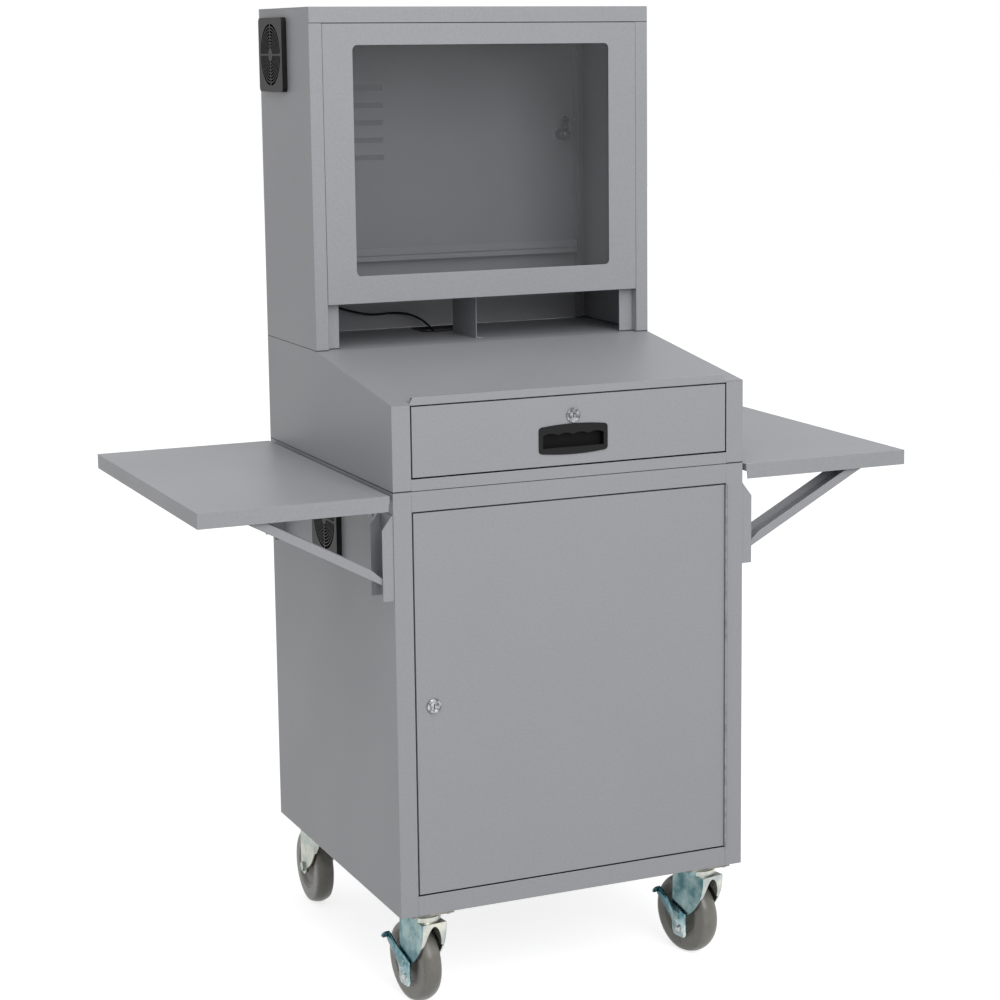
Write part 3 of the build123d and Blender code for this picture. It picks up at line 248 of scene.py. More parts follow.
def powder_coat(name, open_below=None, open_above=None):
    """Grey powder coat with painted shade: dark below one height or above another where a joint is open."""
    coat = Finish(name)
    peel = coat.noise(scale=700.0, detail=3.0)
    speckle = coat.noise(scale=380.0, detail=3.0).between(0.3, 0.7)
    drift = coat.noise(scale=5.0)
    mottle = SPECKLE_SHARE * speckle + (1 - SPECKLE_SHARE) * drift
    shade = coat.blend(mottle, COAT_DARK, COAT_LIGHT)
    # Painted shade: the coat turns dark where a joint between sections is open.
    if open_below is not None:
        joint = 1 - coat.along("Z").between(open_below - JOINT_EDGE, open_below)
        shade = coat.blend(joint, shade, PAINTED_JOINT_SHADE)
    if open_above is not None:
        joint = coat.along("Z").between(open_above, open_above + JOINT_EDGE)
        shade = coat.blend(joint, shade, PAINTED_JOINT_SHADE)
    return coat.surface(
        Base_Color=shade,
        Roughness=0.38 + 0.14 * drift,
        Normal=coat.bump(peel, FINE_RELIEF),
        Specular_IOR_Level=0.4,
    )


BASE_TOP = 867.0 * MM
DESK_TOP = 1050.0 * MM
CAP_BOTTOM = 1593.0 * MM
JOINT_WIDTH = 1.3 * MM
plain_coat = powder_coat("grey_powder_coat")
# These coats carry the painted joint shade at their own heights.
base_coat = powder_coat("base_powder_coat", open_above=BASE_TOP - JOINT_WIDTH)
desk_coat = powder_coat("desk_powder_coat", open_below=BASE_TOP + JOINT_WIDTH)
housing_coat = powder_coat("housing_powder_coat", open_below=DESK_TOP + 1.5 * JOINT_WIDTH)
cap_coat = powder_coat("cap_powder_coat", open_below=CAP_BOTTOM + JOINT_WIDTH)
coats = (plain_coat, base_coat, desk_coat, housing_coat, cap_coat)
print("powder coats", *(coat.name for coat in coats))

# %% [markdown]
# ## Bare metals
# The slides, the caster plates and the screws are zinc plated, a soft metal with a faint bluish
# and yellowish cloud. The plates hang in the base's shade, so they get a darker zinc. The hinges
# are a darker steel, partly their own dull grey and partly painted shade, and the lock faces are
# chrome whose dark and light cloud is a painted reflection. All are metallic surfaces, so one function
# makes them, and only the tints, the roughness and the size of the cloud differ.

# %% Make the metals
def metal(name, first, second, cloud, rough, relief=FINE_RELIEF):
    """Metallic surface between two tints, with a cloud of a given scale and a fine grain."""
    finish = Finish(name)
    tint = finish.noise(scale=cloud, detail=3.0).between(0.32, 0.68)
    grain = finish.noise(scale=420.0, detail=3.0)
    return finish.surface(
        Base_Color=finish.blend(tint, first, second),
        Metallic=1.0,
        Roughness=rough + 0.16 * grain,
        Normal=finish.bump(grain, relief),
    )


zinc = metal("plain_zinc", colour(0.40, 0.43, 0.43), colour(0.58, 0.58, 0.54),
             cloud=34.0, rough=0.26)
plate_zinc = metal("shaded_plate_zinc", colour(0.12, 0.13, 0.12), colour(0.30, 0.29, 0.25),
                   cloud=34.0, rough=0.34)
# Partly painted shade: the hinge steel is darker than the zinc.
hinge_grey_and_painted_shade = metal("dull_hinge_steel", colour(0.20, 0.205, 0.215), colour(0.28, 0.285, 0.295),
                    cloud=60.0, rough=0.45, relief=0.02 * MM)
# Painted reflection: the chrome's dark and light cloud stands in for the surroundings it mirrors.
chrome = metal("bright_chrome", colour(0.12, 0.125, 0.13), colour(0.44, 0.45, 0.46),
               cloud=210.0, rough=0.08)
print("metals", zinc.name, plate_zinc.name, hinge_grey_and_painted_shade.name, chrome.name)

# %% [markdown]
# ## Plastics and rubber
# Fan guards, the recessed pull and the cable ring are moulded black plastic with a fine spark
# texture. The wheels are solid grey rubber with a soft gloss on the tread and dust on the side.
# The lead's sheath is black.

# %% Make the plastics and rubbers
SPARK_SCALE = 1500.0


def soft_black(name, first, second, rough):
    """Black plastic or rubber between two near blacks."""
    finish = Finish(name)
    bloom = finish.noise(scale=24.0)
    spark = finish.noise(scale=SPARK_SCALE)
    return finish.surface(
        Base_Color=finish.blend(bloom, first, second),
        Roughness=rough + 0.2 * spark,
        Normal=finish.bump(spark, FINE_RELIEF),
        Specular_IOR_Level=0.2,
    )


def grey_rubber(name, first, second, rough):
    """Grey rubber with a cloud of dust."""
    finish = Finish(name)
    dust = finish.noise(scale=30.0, detail=4.0).between(0.3, 0.75)
    skin = finish.noise(scale=900.0)
    return finish.surface(
        Base_Color=finish.blend(dust, first, second),
        Roughness=rough + 0.16 * dust,
        Normal=finish.bump(skin, FINE_RELIEF),
    )


black_plastic = soft_black("moulded_black_plastic", colour(0.005, 0.005, 0.005),
                           colour(0.010, 0.010, 0.011), rough=0.36)
lead_rubber = soft_black("black_lead_sheath", colour(0.004, 0.004, 0.004),
                         colour(0.008, 0.008, 0.008), rough=0.45)
wheel_rubber = grey_rubber("grey_wheel_rubber", colour(0.150, 0.146, 0.128),
                           colour(0.205, 0.199, 0.176), rough=0.26)
wheel_core = grey_rubber("grey_wheel_core", colour(0.140, 0.136, 0.119),
                         colour(0.195, 0.189, 0.167), rough=0.34)
print("plastics", black_plastic.name, "rubbers", lead_rubber.name, wheel_rubber.name,
      wheel_core.name)

# %% [markdown]
# ## Clear glazing
# The window is a thin clear sheet. A mostly open alpha with a glossy face shows the inside of the
# housing and casts hardly any shadow into it. Its dark tint is painted shade, so the inside looks a little dimmer
# than it is.

# %% Make the glazing
clear = Finish("clear_glazing")
haze = clear.noise(scale=14.0)
acrylic = clear.surface(
    # Painted shade: the dark tint dims all that is seen behind the glazing.
    Base_Color=clear.blend(haze, colour(0.10, 0.105, 0.11), colour(0.14, 0.145, 0.15)),
    Roughness=0.04 + 0.05 * haze,
    Alpha=0.17 + 0.02 * haze,
)
print("glazing", acrylic.name)

# %% [markdown]
# ## A finish and a body for every piece
# Each part of the imported model has a material slot, and most finishes follow from it. A few parts
# have a finish of their own. A new piece gets its body and its finish, which its slot picks unless one is given,
# in one call.

# %% Define how a piece is added
finishes = {
    "grey_coat": plain_coat,
    "zinc": zinc,
    "chrome": chrome,
    "black_plastic": black_plastic,
    "cord_rubber": lead_rubber,
    "wheel_rubber": wheel_rubber,
    "acrylic": acrylic,
}
own_finish = {
    "base_left_side": base_coat, "base_right_side": base_coat, "base_top_rail": base_coat,
    "desk_left_side": desk_coat, "desk_right_side": desk_coat,
    "housing_left_side": housing_coat, "housing_right_side": housing_coat,
    "housing_cap": cap_coat, "fixed_hinge_leaves": hinge_grey_and_painted_shade, "front_door_leaf": hinge_grey_and_painted_shade,
    "rear_door_leaf": hinge_grey_and_painted_shade, "shelf_hinge_butts": hinge_grey_and_painted_shade, "caster_plates": plate_zinc,
}
members_of = frame["record"]["behaviour"]["bodies"]
slot_of = {part["node"]: part["material_slot"] for part in frame["record"]["subparts"]}
body_of = {node: body for body, members in members_of.items() for node in members}


def finish_of(node):
    """Finish of a part: its own one, or the one of its material slot."""
    return own_finish.get(node, finishes[slot_of[node]])


def add_piece(name, mesh, body, material_slot, finish=None):
    """New object for a finished mesh, riding on its body."""
    piece = new_object(name, mesh)
    mesh.materials.clear()
    mesh.materials.append(finish or finishes[material_slot])
    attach(piece, body)
    return piece


def stand_for(node, mesh):
    """Piece that a mesh becomes in place of a part; its marked bevel faces are shaded smooth."""
    for face in mesh.polygons:
        if face.material_index:
            face.use_smooth = True
            face.material_index = 0
    piece = add_piece(node + "_rounded", mesh, body_of[node], slot_of[node], finish_of(node))
    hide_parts(node)
    return piece


def evaluated_mesh(holder):
    """Plain mesh of an object with its modifiers worked out; the object is removed."""
    graph = bpy.context.evaluated_depsgraph_get()
    result = bpy.data.meshes.new_from_object(holder.evaluated_get(graph))
    bpy.data.objects.remove(holder)
    return result


print("slots", len(finishes), "own finishes", len(own_finish))

# %% [markdown]
# ## Rounded copies of the pressed parts
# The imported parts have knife-sharp edges. A copy of each visible part is welded, and a small bevel
# rounds its edges. Flat walls keep flat shading and only curved walls and the new edges are shaded
# smooth, so no false gradient runs across a large sheet. The copy rides on the same body and
# stands for the part. Some copies are first filled or cut by closed prisms.

# %% Weld a copy and shade its walls
WELD = 0.002 * MM
CREASE = math.radians(30)
SAME_PLANE = math.radians(0.3)
WIDE_WALL = 15.0 * MM
SMALLEST = 1e-6


def flat_region(seed, seen):
    """Faces in one plane with a seed face, and whether a shallow bend borders them."""
    region, bends, queue = [], False, [seed]
    seen.add(seed)
    while queue:
        face = queue.pop()
        region.append(face)
        for edge in face.edges:
            angle = edge.calc_face_angle(math.pi)
            bends = bends or SAME_PLANE < angle < CREASE
            if angle > SAME_PLANE:
                continue
            for other in edge.link_faces:
                if other not in seen:
                    seen.add(other)
                    queue.append(other)
    return region, bends


def shade_walls(work):
    """Shade the narrow faces of curved walls smooth and every other face flat."""
    seen = set()
    for seed in work.faces:
        if seed in seen:
            continue
        region, bends = flat_region(seed, seen)
        corners = [vert.co for face in region for vert in face.verts]
        spans = Vector([max(values) - min(values) for values in zip(*corners)])
        width = sum(face.calc_area() for face in region) / max(spans.length, SMALLEST)
        for face in region:
            face.smooth = bends and width < WIDE_WALL


def welded_copy(node):
    """Copy of a part's mesh with its corners merged and its curved walls smooth."""
    mesh = bpy.data.meshes.new(node + "_welded")
    work = bmesh.new()
    work.from_mesh(nodes[node].data)
    bmesh.ops.remove_doubles(work, verts=work.verts, dist=WELD)
    bmesh.ops.dissolve_degenerate(work, dist=WELD, edges=work.edges)
    shade_walls(work)
    work.to_mesh(mesh)
    work.free()
    return mesh


print("walls wider than", WIDE_WALL, "m stay flat")

# %% Round, fill and cut a copy
BEVEL_STEPS = 2


def weigh_edges(mesh, shortest):
    """Bevel weight of one on sharp edges that are long enough, such as folds but not holes."""
    work = bmesh.new()
    work.from_mesh(mesh)
    weight = work.edges.layers.float.new("bevel_weight_edge")
    for edge in work.edges:
        sharp = edge.calc_face_angle(0.0) > CREASE
        edge[weight] = float(sharp and edge.calc_length() > shortest)
    work.to_mesh(mesh)
    work.free()


def add_bevel(holder, radius, shortest=None):
    """Bevel of the sharp edges, whose new faces are marked by the second of two materials."""
    holder.data.materials.clear()
    for marker in (plain_coat, zinc):
        holder.data.materials.append(marker)
    bevel = holder.modifiers.new("edges", "BEVEL")
    bevel.material = 1
    bevel.width = radius
    bevel.segments = BEVEL_STEPS
    bevel.use_clamp_overlap = True
    if shortest is None:
        bevel.limit_method = "ANGLE"
        bevel.angle_limit = CREASE
    else:
        weigh_edges(holder.data, shortest)
        bevel.limit_method = "WEIGHT"


def add_boolean(holder, operation, shape):
    """Exact boolean of a holder with a closed mesh; gives back the object with that mesh."""
    other = new_object(shape.name, shape)
    change = holder.modifiers.new(operation.lower(), "BOOLEAN")
    change.operation = operation
    change.solver = "EXACT"
    change.object = other
    return other


def reworked(node, radius=None, shortest=None, fills=(), cuts=()):
    """Copy of a part in its place, filled and cut by closed meshes and with rounded edges."""
    holder = new_object(node + "_holder", welded_copy(node))
    others = [add_boolean(holder, "UNION", shape) for shape in fills]
    others += [add_boolean(holder, "DIFFERENCE", shape) for shape in cuts]
    if radius is not None:
        add_bevel(holder, radius, shortest)
    piece = stand_for(node, evaluated_mesh(holder))
    for other in others:
        bpy.data.objects.remove(other)
    return piece


print("bevels have", BEVEL_STEPS, "steps")

# %% Round the sheet parts
SHEET_EDGE = 0.55 * MM
SHORTEST_FOLD = 8.0 * MM
sheet_parts = [
    "housing_left_side", "housing_right_side", "housing_cap", "window_panel", "rear_door",
    "housing_rear_strip", "cubby_divider", "monitor_shelf", "desk_left_side", "desk_right_side",
    "desk_top", "desk_pan", "base_left_side", "base_right_side", "base_top_rail", "base_floor",
    "back_panel", "inner_shelf", "front_door", "drawer_front", "drawer_box", "left_shelf",
    "right_shelf", "left_brackets", "right_brackets", "left_braces", "right_braces",
]
for part in sheet_parts:
    piece = reworked(part, SHEET_EDGE, SHORTEST_FOLD)
    print(part, len(piece.data.polygons))

# %% [markdown]
# ## Small parts with their own roundings
# Mouldings and turned parts are rounder or finer than folded sheet, so each gets the bevel that
# suits it.

# %% Round the small parts
small_edges = {
    "fan_frames": 0.5 * MM,
    "front_lock_barrel": 0.8 * MM,
    "drawer_lock_barrel": 0.8 * MM,
    "rear_lock_barrel": 0.8 * MM,
    "front_lock_plug": 0.3 * MM,
    "drawer_lock_plug": 0.3 * MM,
    "rear_lock_plug": 0.3 * MM,
    "caster_plates": 0.7 * MM,
}
for part, edge_radius in small_edges.items():
    piece = reworked(part, edge_radius)
    print(part, len(piece.data.polygons))

# %% [markdown]
# ## The parts that keep their own mesh
# Hinges, slides, rotors, the cable ring and the glazing already look right, so they only get their
# finish. The loop visits every part, also the ones that a copy stands for and that are not shown.

# %% Give every part its finish
for name, node in nodes.items():
    node.data.materials.clear()
    node.data.materials.append(finish_of(name))
print("finishes given to", len(nodes), "parts")

# %% [markdown]
# ## Prisms
# Several pieces and all the cutters are flat outlines pushed through a thickness. One function
# makes such a prism in any two directions. Places are written in millimetres, as on the drawing,
# with y counted from the cabinet's face, and become metres only here.

# %% Define places and prisms
FRONT_Y = -328.65
ORIGIN = Vector((0, 0, 0))
ALONG_X = Vector((1, 0, 0))
ALONG_Y = Vector((0, 1, 0))


def at(x, y, z):
    """Point in metres from millimetres, with y counted from the cabinet's face."""
    return Vector((x, FRONT_Y + y, z)) * MM


def in_metres(pairs):
    """Outline or profile in metres from one in millimetres."""
    return [(a * MM, b * MM) for a, b in pairs]


def rectangle(left, low, right, high):
    """Outline of an upright rectangle."""
    return [(left, low), (right, low), (right, high), (left, high)]


def closed_mesh(name, points, faces):
    """Mesh of a closed shape whose faces all point outwards."""
    mesh = bpy.data.meshes.new(name)
    mesh.from_pydata(points, [], faces)
    work = bmesh.new()
    work.from_mesh(mesh)
    bmesh.ops.recalc_face_normals(work, faces=work.faces)
    work.to_mesh(mesh)
    work.free()
    return mesh


def prism(name, outline, origin, first, second, start, end):
    """Closed prism of an outline in two directions, from one distance to another on the third."""
    third = first.cross(second)
    points = []
    for depth in (start, end):
        points += [origin + a * first + b * second + depth * third for a, b in outline]
    count = len(outline)
    faces = [tuple(range(count)), tuple(range(2 * count - 1, count - 1, -1))]
    for here in range(count):
        after = (here + 1) % count
        faces.append((here, after, count + after, count + here))
    return closed_mesh(name, points, faces)


print("cabinet face at y", FRONT_Y, "mm")

# %% [markdown]
# ## Fan guards
# A fan guard is a square moulding whose face is a fine grille of rings, held by a cross of narrow
# ribs around a small hub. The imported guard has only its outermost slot. Seven finer ring slots are
# cut into a copy of it, each in four arcs that stop at the ribs.

# %% Cut the grilles
FAN_CENTRES = ((527.0, 1542.0), (306.0, 775.0))
SLOT_COUNT = 7
SLOT_FIRST = 11.4
SLOT_PITCH = 5.2
SLOT_WIDTH = 3.5
RIB_HALF = 1.5
SLOT_FROM_X = -320.6 * MM
SLOT_TO_X = -316.6 * MM
ARC_STEPS = 10
QUARTERS = 4


def arc_points(radius, quarter):
    """Points of a quarter arc between two ribs, as pairs of offsets."""
    clear_angle = math.asin(RIB_HALF / radius)
    first_angle = quarter * math.pi / 2 + clear_angle
    span = math.pi / 2 - 2 * clear_angle
    angles = [first_angle + span * step / ARC_STEPS for step in range(ARC_STEPS + 1)]
    return [(radius * math.cos(angle), radius * math.sin(angle)) for angle in angles]


def slot_outline(ring, quarter):
    """Closed outline of one slot in metres."""
    inner = SLOT_FIRST + ring * SLOT_PITCH
    return in_metres(arc_points(inner + SLOT_WIDTH, quarter) + arc_points(inner, quarter)[::-1])


all_slots = bmesh.new()
for fan_y, fan_z in FAN_CENTRES:
    for ring in range(SLOT_COUNT):
        for quarter in range(QUARTERS):
            slot = prism("slot", slot_outline(ring, quarter), at(0, fan_y, fan_z), ALONG_Y, UP,
                         SLOT_FROM_X, SLOT_TO_X)
            all_slots.from_mesh(slot)
            bpy.data.meshes.remove(slot)
slots_mesh = bpy.data.meshes.new("slots")
all_slots.to_mesh(slots_mesh)
all_slots.free()
piece = reworked("fan_guards", cuts=[slots_mesh])
print("guards", len(piece.data.polygons))

# %% [markdown]
# ## Recessed pull
# The drawer's pull is a black moulding with a pocket in shade. Its opening is straight below and has
# four shallow finger waves above. A copy of the pull is filled and cut again with that outline,
# and the pocket's shade is painted: the finish is nearly black inside the pocket.

# %% Shape the pull
WAVES = 4
GRIP_HALF = 54.0
GRIP_LOW = 917.0
GRIP_HIGH = 937.5
WAVE_RISE = 3.4
WAVE_STEPS = 8
FILL_OUTLINE = rectangle(-54.3, 913.8, 54.3, 945.8)
FILL_BEHIND = -1.4 * MM
FILL_AHEAD = 1.5 * MM
GRIP_DEPTH = 2.5 * MM
PULL_EDGE = 0.45 * MM
POCKET_FROM = (FRONT_Y + 1.0) * MM
POCKET_FADE = 1.5 * MM
FRONT_FACE = at(0, 0, 0)

grip = [(-GRIP_HALF, GRIP_LOW), (GRIP_HALF, GRIP_LOW)]
for step in range(WAVES * WAVE_STEPS + 1):
    part_way = step / (WAVES * WAVE_STEPS)
    rise = WAVE_RISE * math.sin(math.pi * (step % WAVE_STEPS) / WAVE_STEPS)
    grip.append((GRIP_HALF - 2 * GRIP_HALF * part_way, GRIP_HIGH + rise))

pocket = Finish("pull_plastic")
# Painted shade: the finish turns nearly black deeper in the pocket.
pocket_shade = pocket.along("Y").between(POCKET_FROM, POCKET_FROM + POCKET_FADE)
spark = pocket.noise(scale=SPARK_SCALE)
own_finish["drawer_pull"] = pocket.surface(
    Base_Color=pocket.blend(pocket_shade, colour(0.009, 0.009, 0.010), colour(0.0008, 0.0008, 0.0009)),
    Roughness=0.34 + 0.15 * spark + 0.3 * pocket_shade,
    Normal=pocket.bump(spark, FINE_RELIEF),
    Specular_IOR_Level=0.2,
)
filler = prism("filler", in_metres(FILL_OUTLINE), FRONT_FACE, ALONG_X, UP, FILL_BEHIND, FILL_AHEAD)
opening = prism("opening", in_metres(grip), FRONT_FACE, ALONG_X, UP, -GRIP_DEPTH, GRIP_DEPTH)
piece = reworked("drawer_pull", PULL_EDGE, fills=[filler], cuts=[opening])
print("pull", len(piece.data.polygons))

# %% [markdown]
# ## Pressed forks
# A caster's fork is pressed from one sheet, and its front is cut into a tall arch, so that the
# flange narrows down both legs. A round-headed cutter along the wheel's path takes that arch out
# of a copy of the fork. The zinc of the forks has a blue film, stronger on the front pair.

# %% Find the casters and their finish
LEG_FACE = 21.3 * MM
LEG_FADE = 0.3 * MM


class Caster:
    """Point on the swivel axis, wheel centre, and the directions across the wheel and back."""

    def __init__(self, corner):
        roll = joints[corner + "_roll"]
        self.swivel = Vector(joints[corner + "_swivel"]["pos_m"])
        self.centre = Vector(roll["pos_m"])
        self.across = Vector(roll["axis"]).normalized()
        self.trail = Vector((-self.across.y, self.across.x, 0))


def fork_finish(corner, caster):
    """Zinc with a thin film in front and a stronger one on the outer faces of the legs."""
    film = Finish("fork_zinc_" + corner)
    offset = film.node("ShaderNodeVectorMath", {"operation": "SUBTRACT"},
                       {0: film.place, 1: caster.swivel}, "Vector")
    aside = film.node("ShaderNodeVectorMath", {"operation": "DOT_PRODUCT"},
                      {0: offset, 1: caster.across}, "Value")
    leg = abs(aside).between(LEG_FACE - LEG_FADE, LEG_FACE)
    cloud = film.noise(scale=38.0, detail=3.0).between(0.3, 0.7)
    streak = film.noise(scale=120.0).between(0.35, 0.65)
    front = film.blend(cloud, colour(0.40, 0.44, 0.43), colour(0.66, 0.65, 0.57))
    if corner.startswith("front"):
        side = film.blend(cloud, colour(0.06, 0.15, 0.17), colour(0.27, 0.37, 0.37))
    else:
        side = film.blend(cloud, colour(0.28, 0.33, 0.30), colour(0.50, 0.52, 0.44))
    return film.surface(
        Base_Color=film.blend(leg, front, side),
        Metallic=1.0,
        Roughness=0.22 + 0.12 * streak,
        Normal=film.bump(streak, FINE_RELIEF),
    )


casters = {
    corner: Caster(corner) for corner in ("front_left", "front_right", "rear_left", "rear_right")
}
print("casters", *casters)

# %% Cut the arches of the forks
ARCH_HALF = 19.4 * MM
ARCH_TOP = 145.0 * MM
ARCH_FOOT = -30.0 * MM
ARCH_FROM = 4.0 * MM
ARCH_TO = 70.0 * MM
ARCH_STEPS = 24
FORK_EDGE = 0.6 * MM

for corner, caster in casters.items():
    rise = ARCH_TOP - caster.centre.z
    angles = [math.pi * step / ARCH_STEPS for step in range(ARCH_STEPS + 1)]
    arch = [(ARCH_HALF * math.cos(angle), rise * math.sin(angle)) for angle in angles]
    arch += [(-ARCH_HALF, ARCH_FOOT), (ARCH_HALF, ARCH_FOOT)]
    under_swivel = Vector((caster.swivel.x, caster.swivel.y, caster.centre.z))
    cutter = prism("arch_cutter", arch, under_swivel, caster.across, UP, ARCH_FROM, ARCH_TO)
    node = "caster_fork_" + corner
    own_finish[node] = fork_finish(corner, caster)
    piece = reworked(node, FORK_EDGE, cuts=[cutter])
    print(node, len(piece.data.polygons))

# %% [markdown]
# ## Brake levers
# Each front caster has a blue pressed lever on its side: an arm that rises to the back and ends in
# a bent pedal, and a broad tab below with a bolt. Its outline is drawn with rounded corners around
# the axle and made a thick plate.

# %% Define the lever's outline and finish
LEVER_CORNERS = [
    (-26, 7, 6), (-27, -36, 10), (8, -36, 10), (10, -9, 8), (24, 3, 10),
    (53, 26, 6), (45, 40, 6), (14, 21, 10), (-6, 15, 8),
]
CORNER_STEPS = 5
TINT_LOW = 0.048
TINT_HIGH = 0.074


def round_corners(corners):
    """Outline in metres of (along, up, radius) corners, each turned into a short curve."""
    points = [Vector((along, up)) for along, up, radius in corners]
    curved = []
    for index, here in enumerate(points):
        radius = corners[index][2]
        before = points[index - 1] - here
        after = points[(index + 1) % len(points)] - here
        first = here + before.normalized() * min(radius, before.length / 2)
        last = here + after.normalized() * min(radius, after.length / 2)
        for step in range(CORNER_STEPS + 1):
            t = step / CORNER_STEPS
            curved.append((1 - t) ** 2 * first + 2 * t * (1 - t) * here + t * t * last)
    return [tuple(point * MM) for point in curved]


def lever_finish():
    """Zinc with a deep blue film on the arm that thins out on the tab below."""
    film = Finish("lever_zinc")
    cloud = film.noise(scale=46.0, detail=3.0).between(0.32, 0.68)
    streak = film.noise(scale=160.0).between(0.35, 0.65)
    arm_tint = film.blend(cloud, colour(0.04, 0.14, 0.17), colour(0.22, 0.38, 0.41))
    tab_tint = film.blend(cloud, colour(0.22, 0.34, 0.36), colour(0.58, 0.66, 0.66))
    return film.surface(
        Base_Color=film.blend(film.along("Z").between(TINT_LOW, TINT_HIGH), tab_tint, arm_tint),
        Metallic=1.0,
        Roughness=0.2 + 0.12 * streak,
        Normal=film.bump(streak, FINE_RELIEF),
    )


lever_outline = round_corners(LEVER_CORNERS)
lever_zinc = lever_finish()
print("lever outline points", len(lever_outline))

# %% Press the brake levers
BRAKED = ("front_left", "front_right")
LEVER_IN = 23.5 * MM
LEVER_OUT = 26.0 * MM
LEVER_EDGE = 0.5 * MM
LEVER_SHORTEST = 5.0 * MM
ARM_RUN = 45.0
ARM_RISE = 29.0
PEDAL_REACH = (49.0, 33.0)
PEDAL_THICK = 2.4 * MM
PEDAL_LENGTH = 13.0
PEDAL_HALF = 6.5
PEDAL_TAPER = 4.0
PEDAL_END_HALF = 3.0
PEDAL_OUTLINE = [
    (-PEDAL_HALF, 0.0), (PEDAL_HALF, 0.0), (PEDAL_HALF, PEDAL_LENGTH - PEDAL_TAPER),
    (PEDAL_END_HALF, PEDAL_LENGTH), (-PEDAL_END_HALF, PEDAL_LENGTH),
    (-PEDAL_HALF, PEDAL_LENGTH - PEDAL_TAPER),
]

for corner in BRAKED:
    caster = casters[corner]
    node = "brake_lever_" + corner
    plate = prism(node + "_plate", lever_outline, caster.centre, caster.trail, UP,
                  -LEVER_OUT, -LEVER_IN)
    reach = Vector(PEDAL_REACH) * MM
    tip = caster.centre + reach.x * caster.trail + reach.y * UP - LEVER_IN * caster.across
    arm = (ARM_RUN * caster.trail + ARM_RISE * UP).normalized()
    side = arm.cross(caster.across).normalized()
    pedal = prism(node + "_pedal", in_metres(PEDAL_OUTLINE), tip - PEDAL_THICK / 2 * arm, side,
                  -caster.across, 0, PEDAL_THICK)
    joined = bmesh.new()
    joined.from_mesh(plate)
    joined.from_mesh(pedal)
    for face in joined.faces:
        face.smooth = True
    joined.to_mesh(plate)
    joined.free()
    holder = new_object(node + "_holder", plate)
    add_bevel(holder, LEVER_EDGE, LEVER_SHORTEST)
    own_finish[node] = lever_zinc
    piece = stand_for(node, evaluated_mesh(holder))
    print(node, len(piece.data.polygons))

# %% [markdown]
# ## Wheels
# A wheel is a body of revolution: a crowned rubber tyre, a recessed core and a steel bearing in
# the hub. Each is a closed profile turned about the axle, which the roll joint gives.

# %% Define how a profile is turned
TURN_STEPS = 96
SHARP = math.radians(40)


def turned(name, profile, centre, axis):
    """Closed ring of a profile of (radius, offset) pairs in millimetres about a unit axis."""
    side = axis.orthogonal().normalized()
    other = axis.cross(side)
    count = len(profile)
    points, faces = [], []
    for step in range(TURN_STEPS):
        angle = 2 * math.pi * step / TURN_STEPS
        outward = math.cos(angle) * side + math.sin(angle) * other
        points += [centre + radius * outward + offset * axis
                   for radius, offset in in_metres(profile)]
        here = step * count
        after = (step + 1) % TURN_STEPS * count
        for low in range(count):
            high = (low + 1) % count
            faces.append((here + low, here + high, after + high, after + low))
    mesh = closed_mesh(name, points, faces)
    for polygon in mesh.polygons:
        polygon.use_smooth = True
    mesh.set_sharp_from_angle(angle=SHARP)
    return mesh


def arc(radius, offset, size, start, end, count):
    """Points of a round stretch of a profile, angles in degrees from the radial direction."""
    stops = [math.radians(start + (end - start) * step / count) for step in range(count + 1)]
    return [(radius + size * math.cos(stop), offset + size * math.sin(stop)) for stop in stops]


def mirrored(half):
    """Profile of a half and its mirror image."""
    return half + [(radius, -offset) for radius, offset in reversed(half)]


print("a wheel is turned in", TURN_STEPS, "steps")

# %% Turn the wheels
TYRE_RADIUS = 68.0
TYRE_HALF = 16.0
CROWN = 26.0
CROWN_ANGLE = 33
CROWN_STEPS = 16
RIM = 41.0
RIM_EDGE = 0.6
RIM_STEPS = 4
crown = arc(TYRE_RADIUS - CROWN, 0, CROWN, -CROWN_ANGLE, CROWN_ANGLE, CROWN_STEPS)
half_wall = [
    (59.5, TYRE_HALF - 0.35), (56.0, TYRE_HALF), (RIM + 3.0, TYRE_HALF),
    *arc(RIM + RIM_EDGE, TYRE_HALF - RIM_EDGE, RIM_EDGE, 90, 180, RIM_STEPS),
    (RIM, TYRE_HALF - 3.0),
]
half_core = [
    (RIM - 0.05, TYRE_HALF - 1.0), (RIM - 1.0, TYRE_HALF - 0.5), (RIM - 4.5, TYRE_HALF - 1.2),
    (RIM - 7.5, TYRE_HALF - 4.2), (22.0, TYRE_HALF - 4.6), (18.5, TYRE_HALF - 2.6),
    (15.5, TYRE_HALF + 0.4), (14.5, TYRE_HALF + 0.9), (11.0, TYRE_HALF + 0.9),
]
half_bearing = [(5.06, 18.2), (9.0, 18.2), (10.9, 17.2)]
wheel_parts = (
    ("tyre_", crown + mirrored(half_wall), "wheel_rubber", wheel_rubber),
    ("core_", mirrored(half_core), "wheel_rubber", wheel_core),
    ("bearing_", mirrored(half_bearing), "zinc", zinc),
)
for corner, caster in casters.items():
    node = "caster_wheel_" + corner
    for part, profile, material_slot, finish in wheel_parts:
        mesh = turned(part + corner, profile, caster.centre, caster.across)
        piece = add_piece(part + corner, mesh, node, material_slot, finish)
        if part == "tyre_":
            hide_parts(node)
print("wheels turned", len(casters))

# %% [markdown]
# ## The fan lead
# A thin black lead joins the fans: down inside the housing, along the cubby, through the ring in
# the desk and into the base. It hangs under its own weight, so its line is one smooth spline
# through listed points.

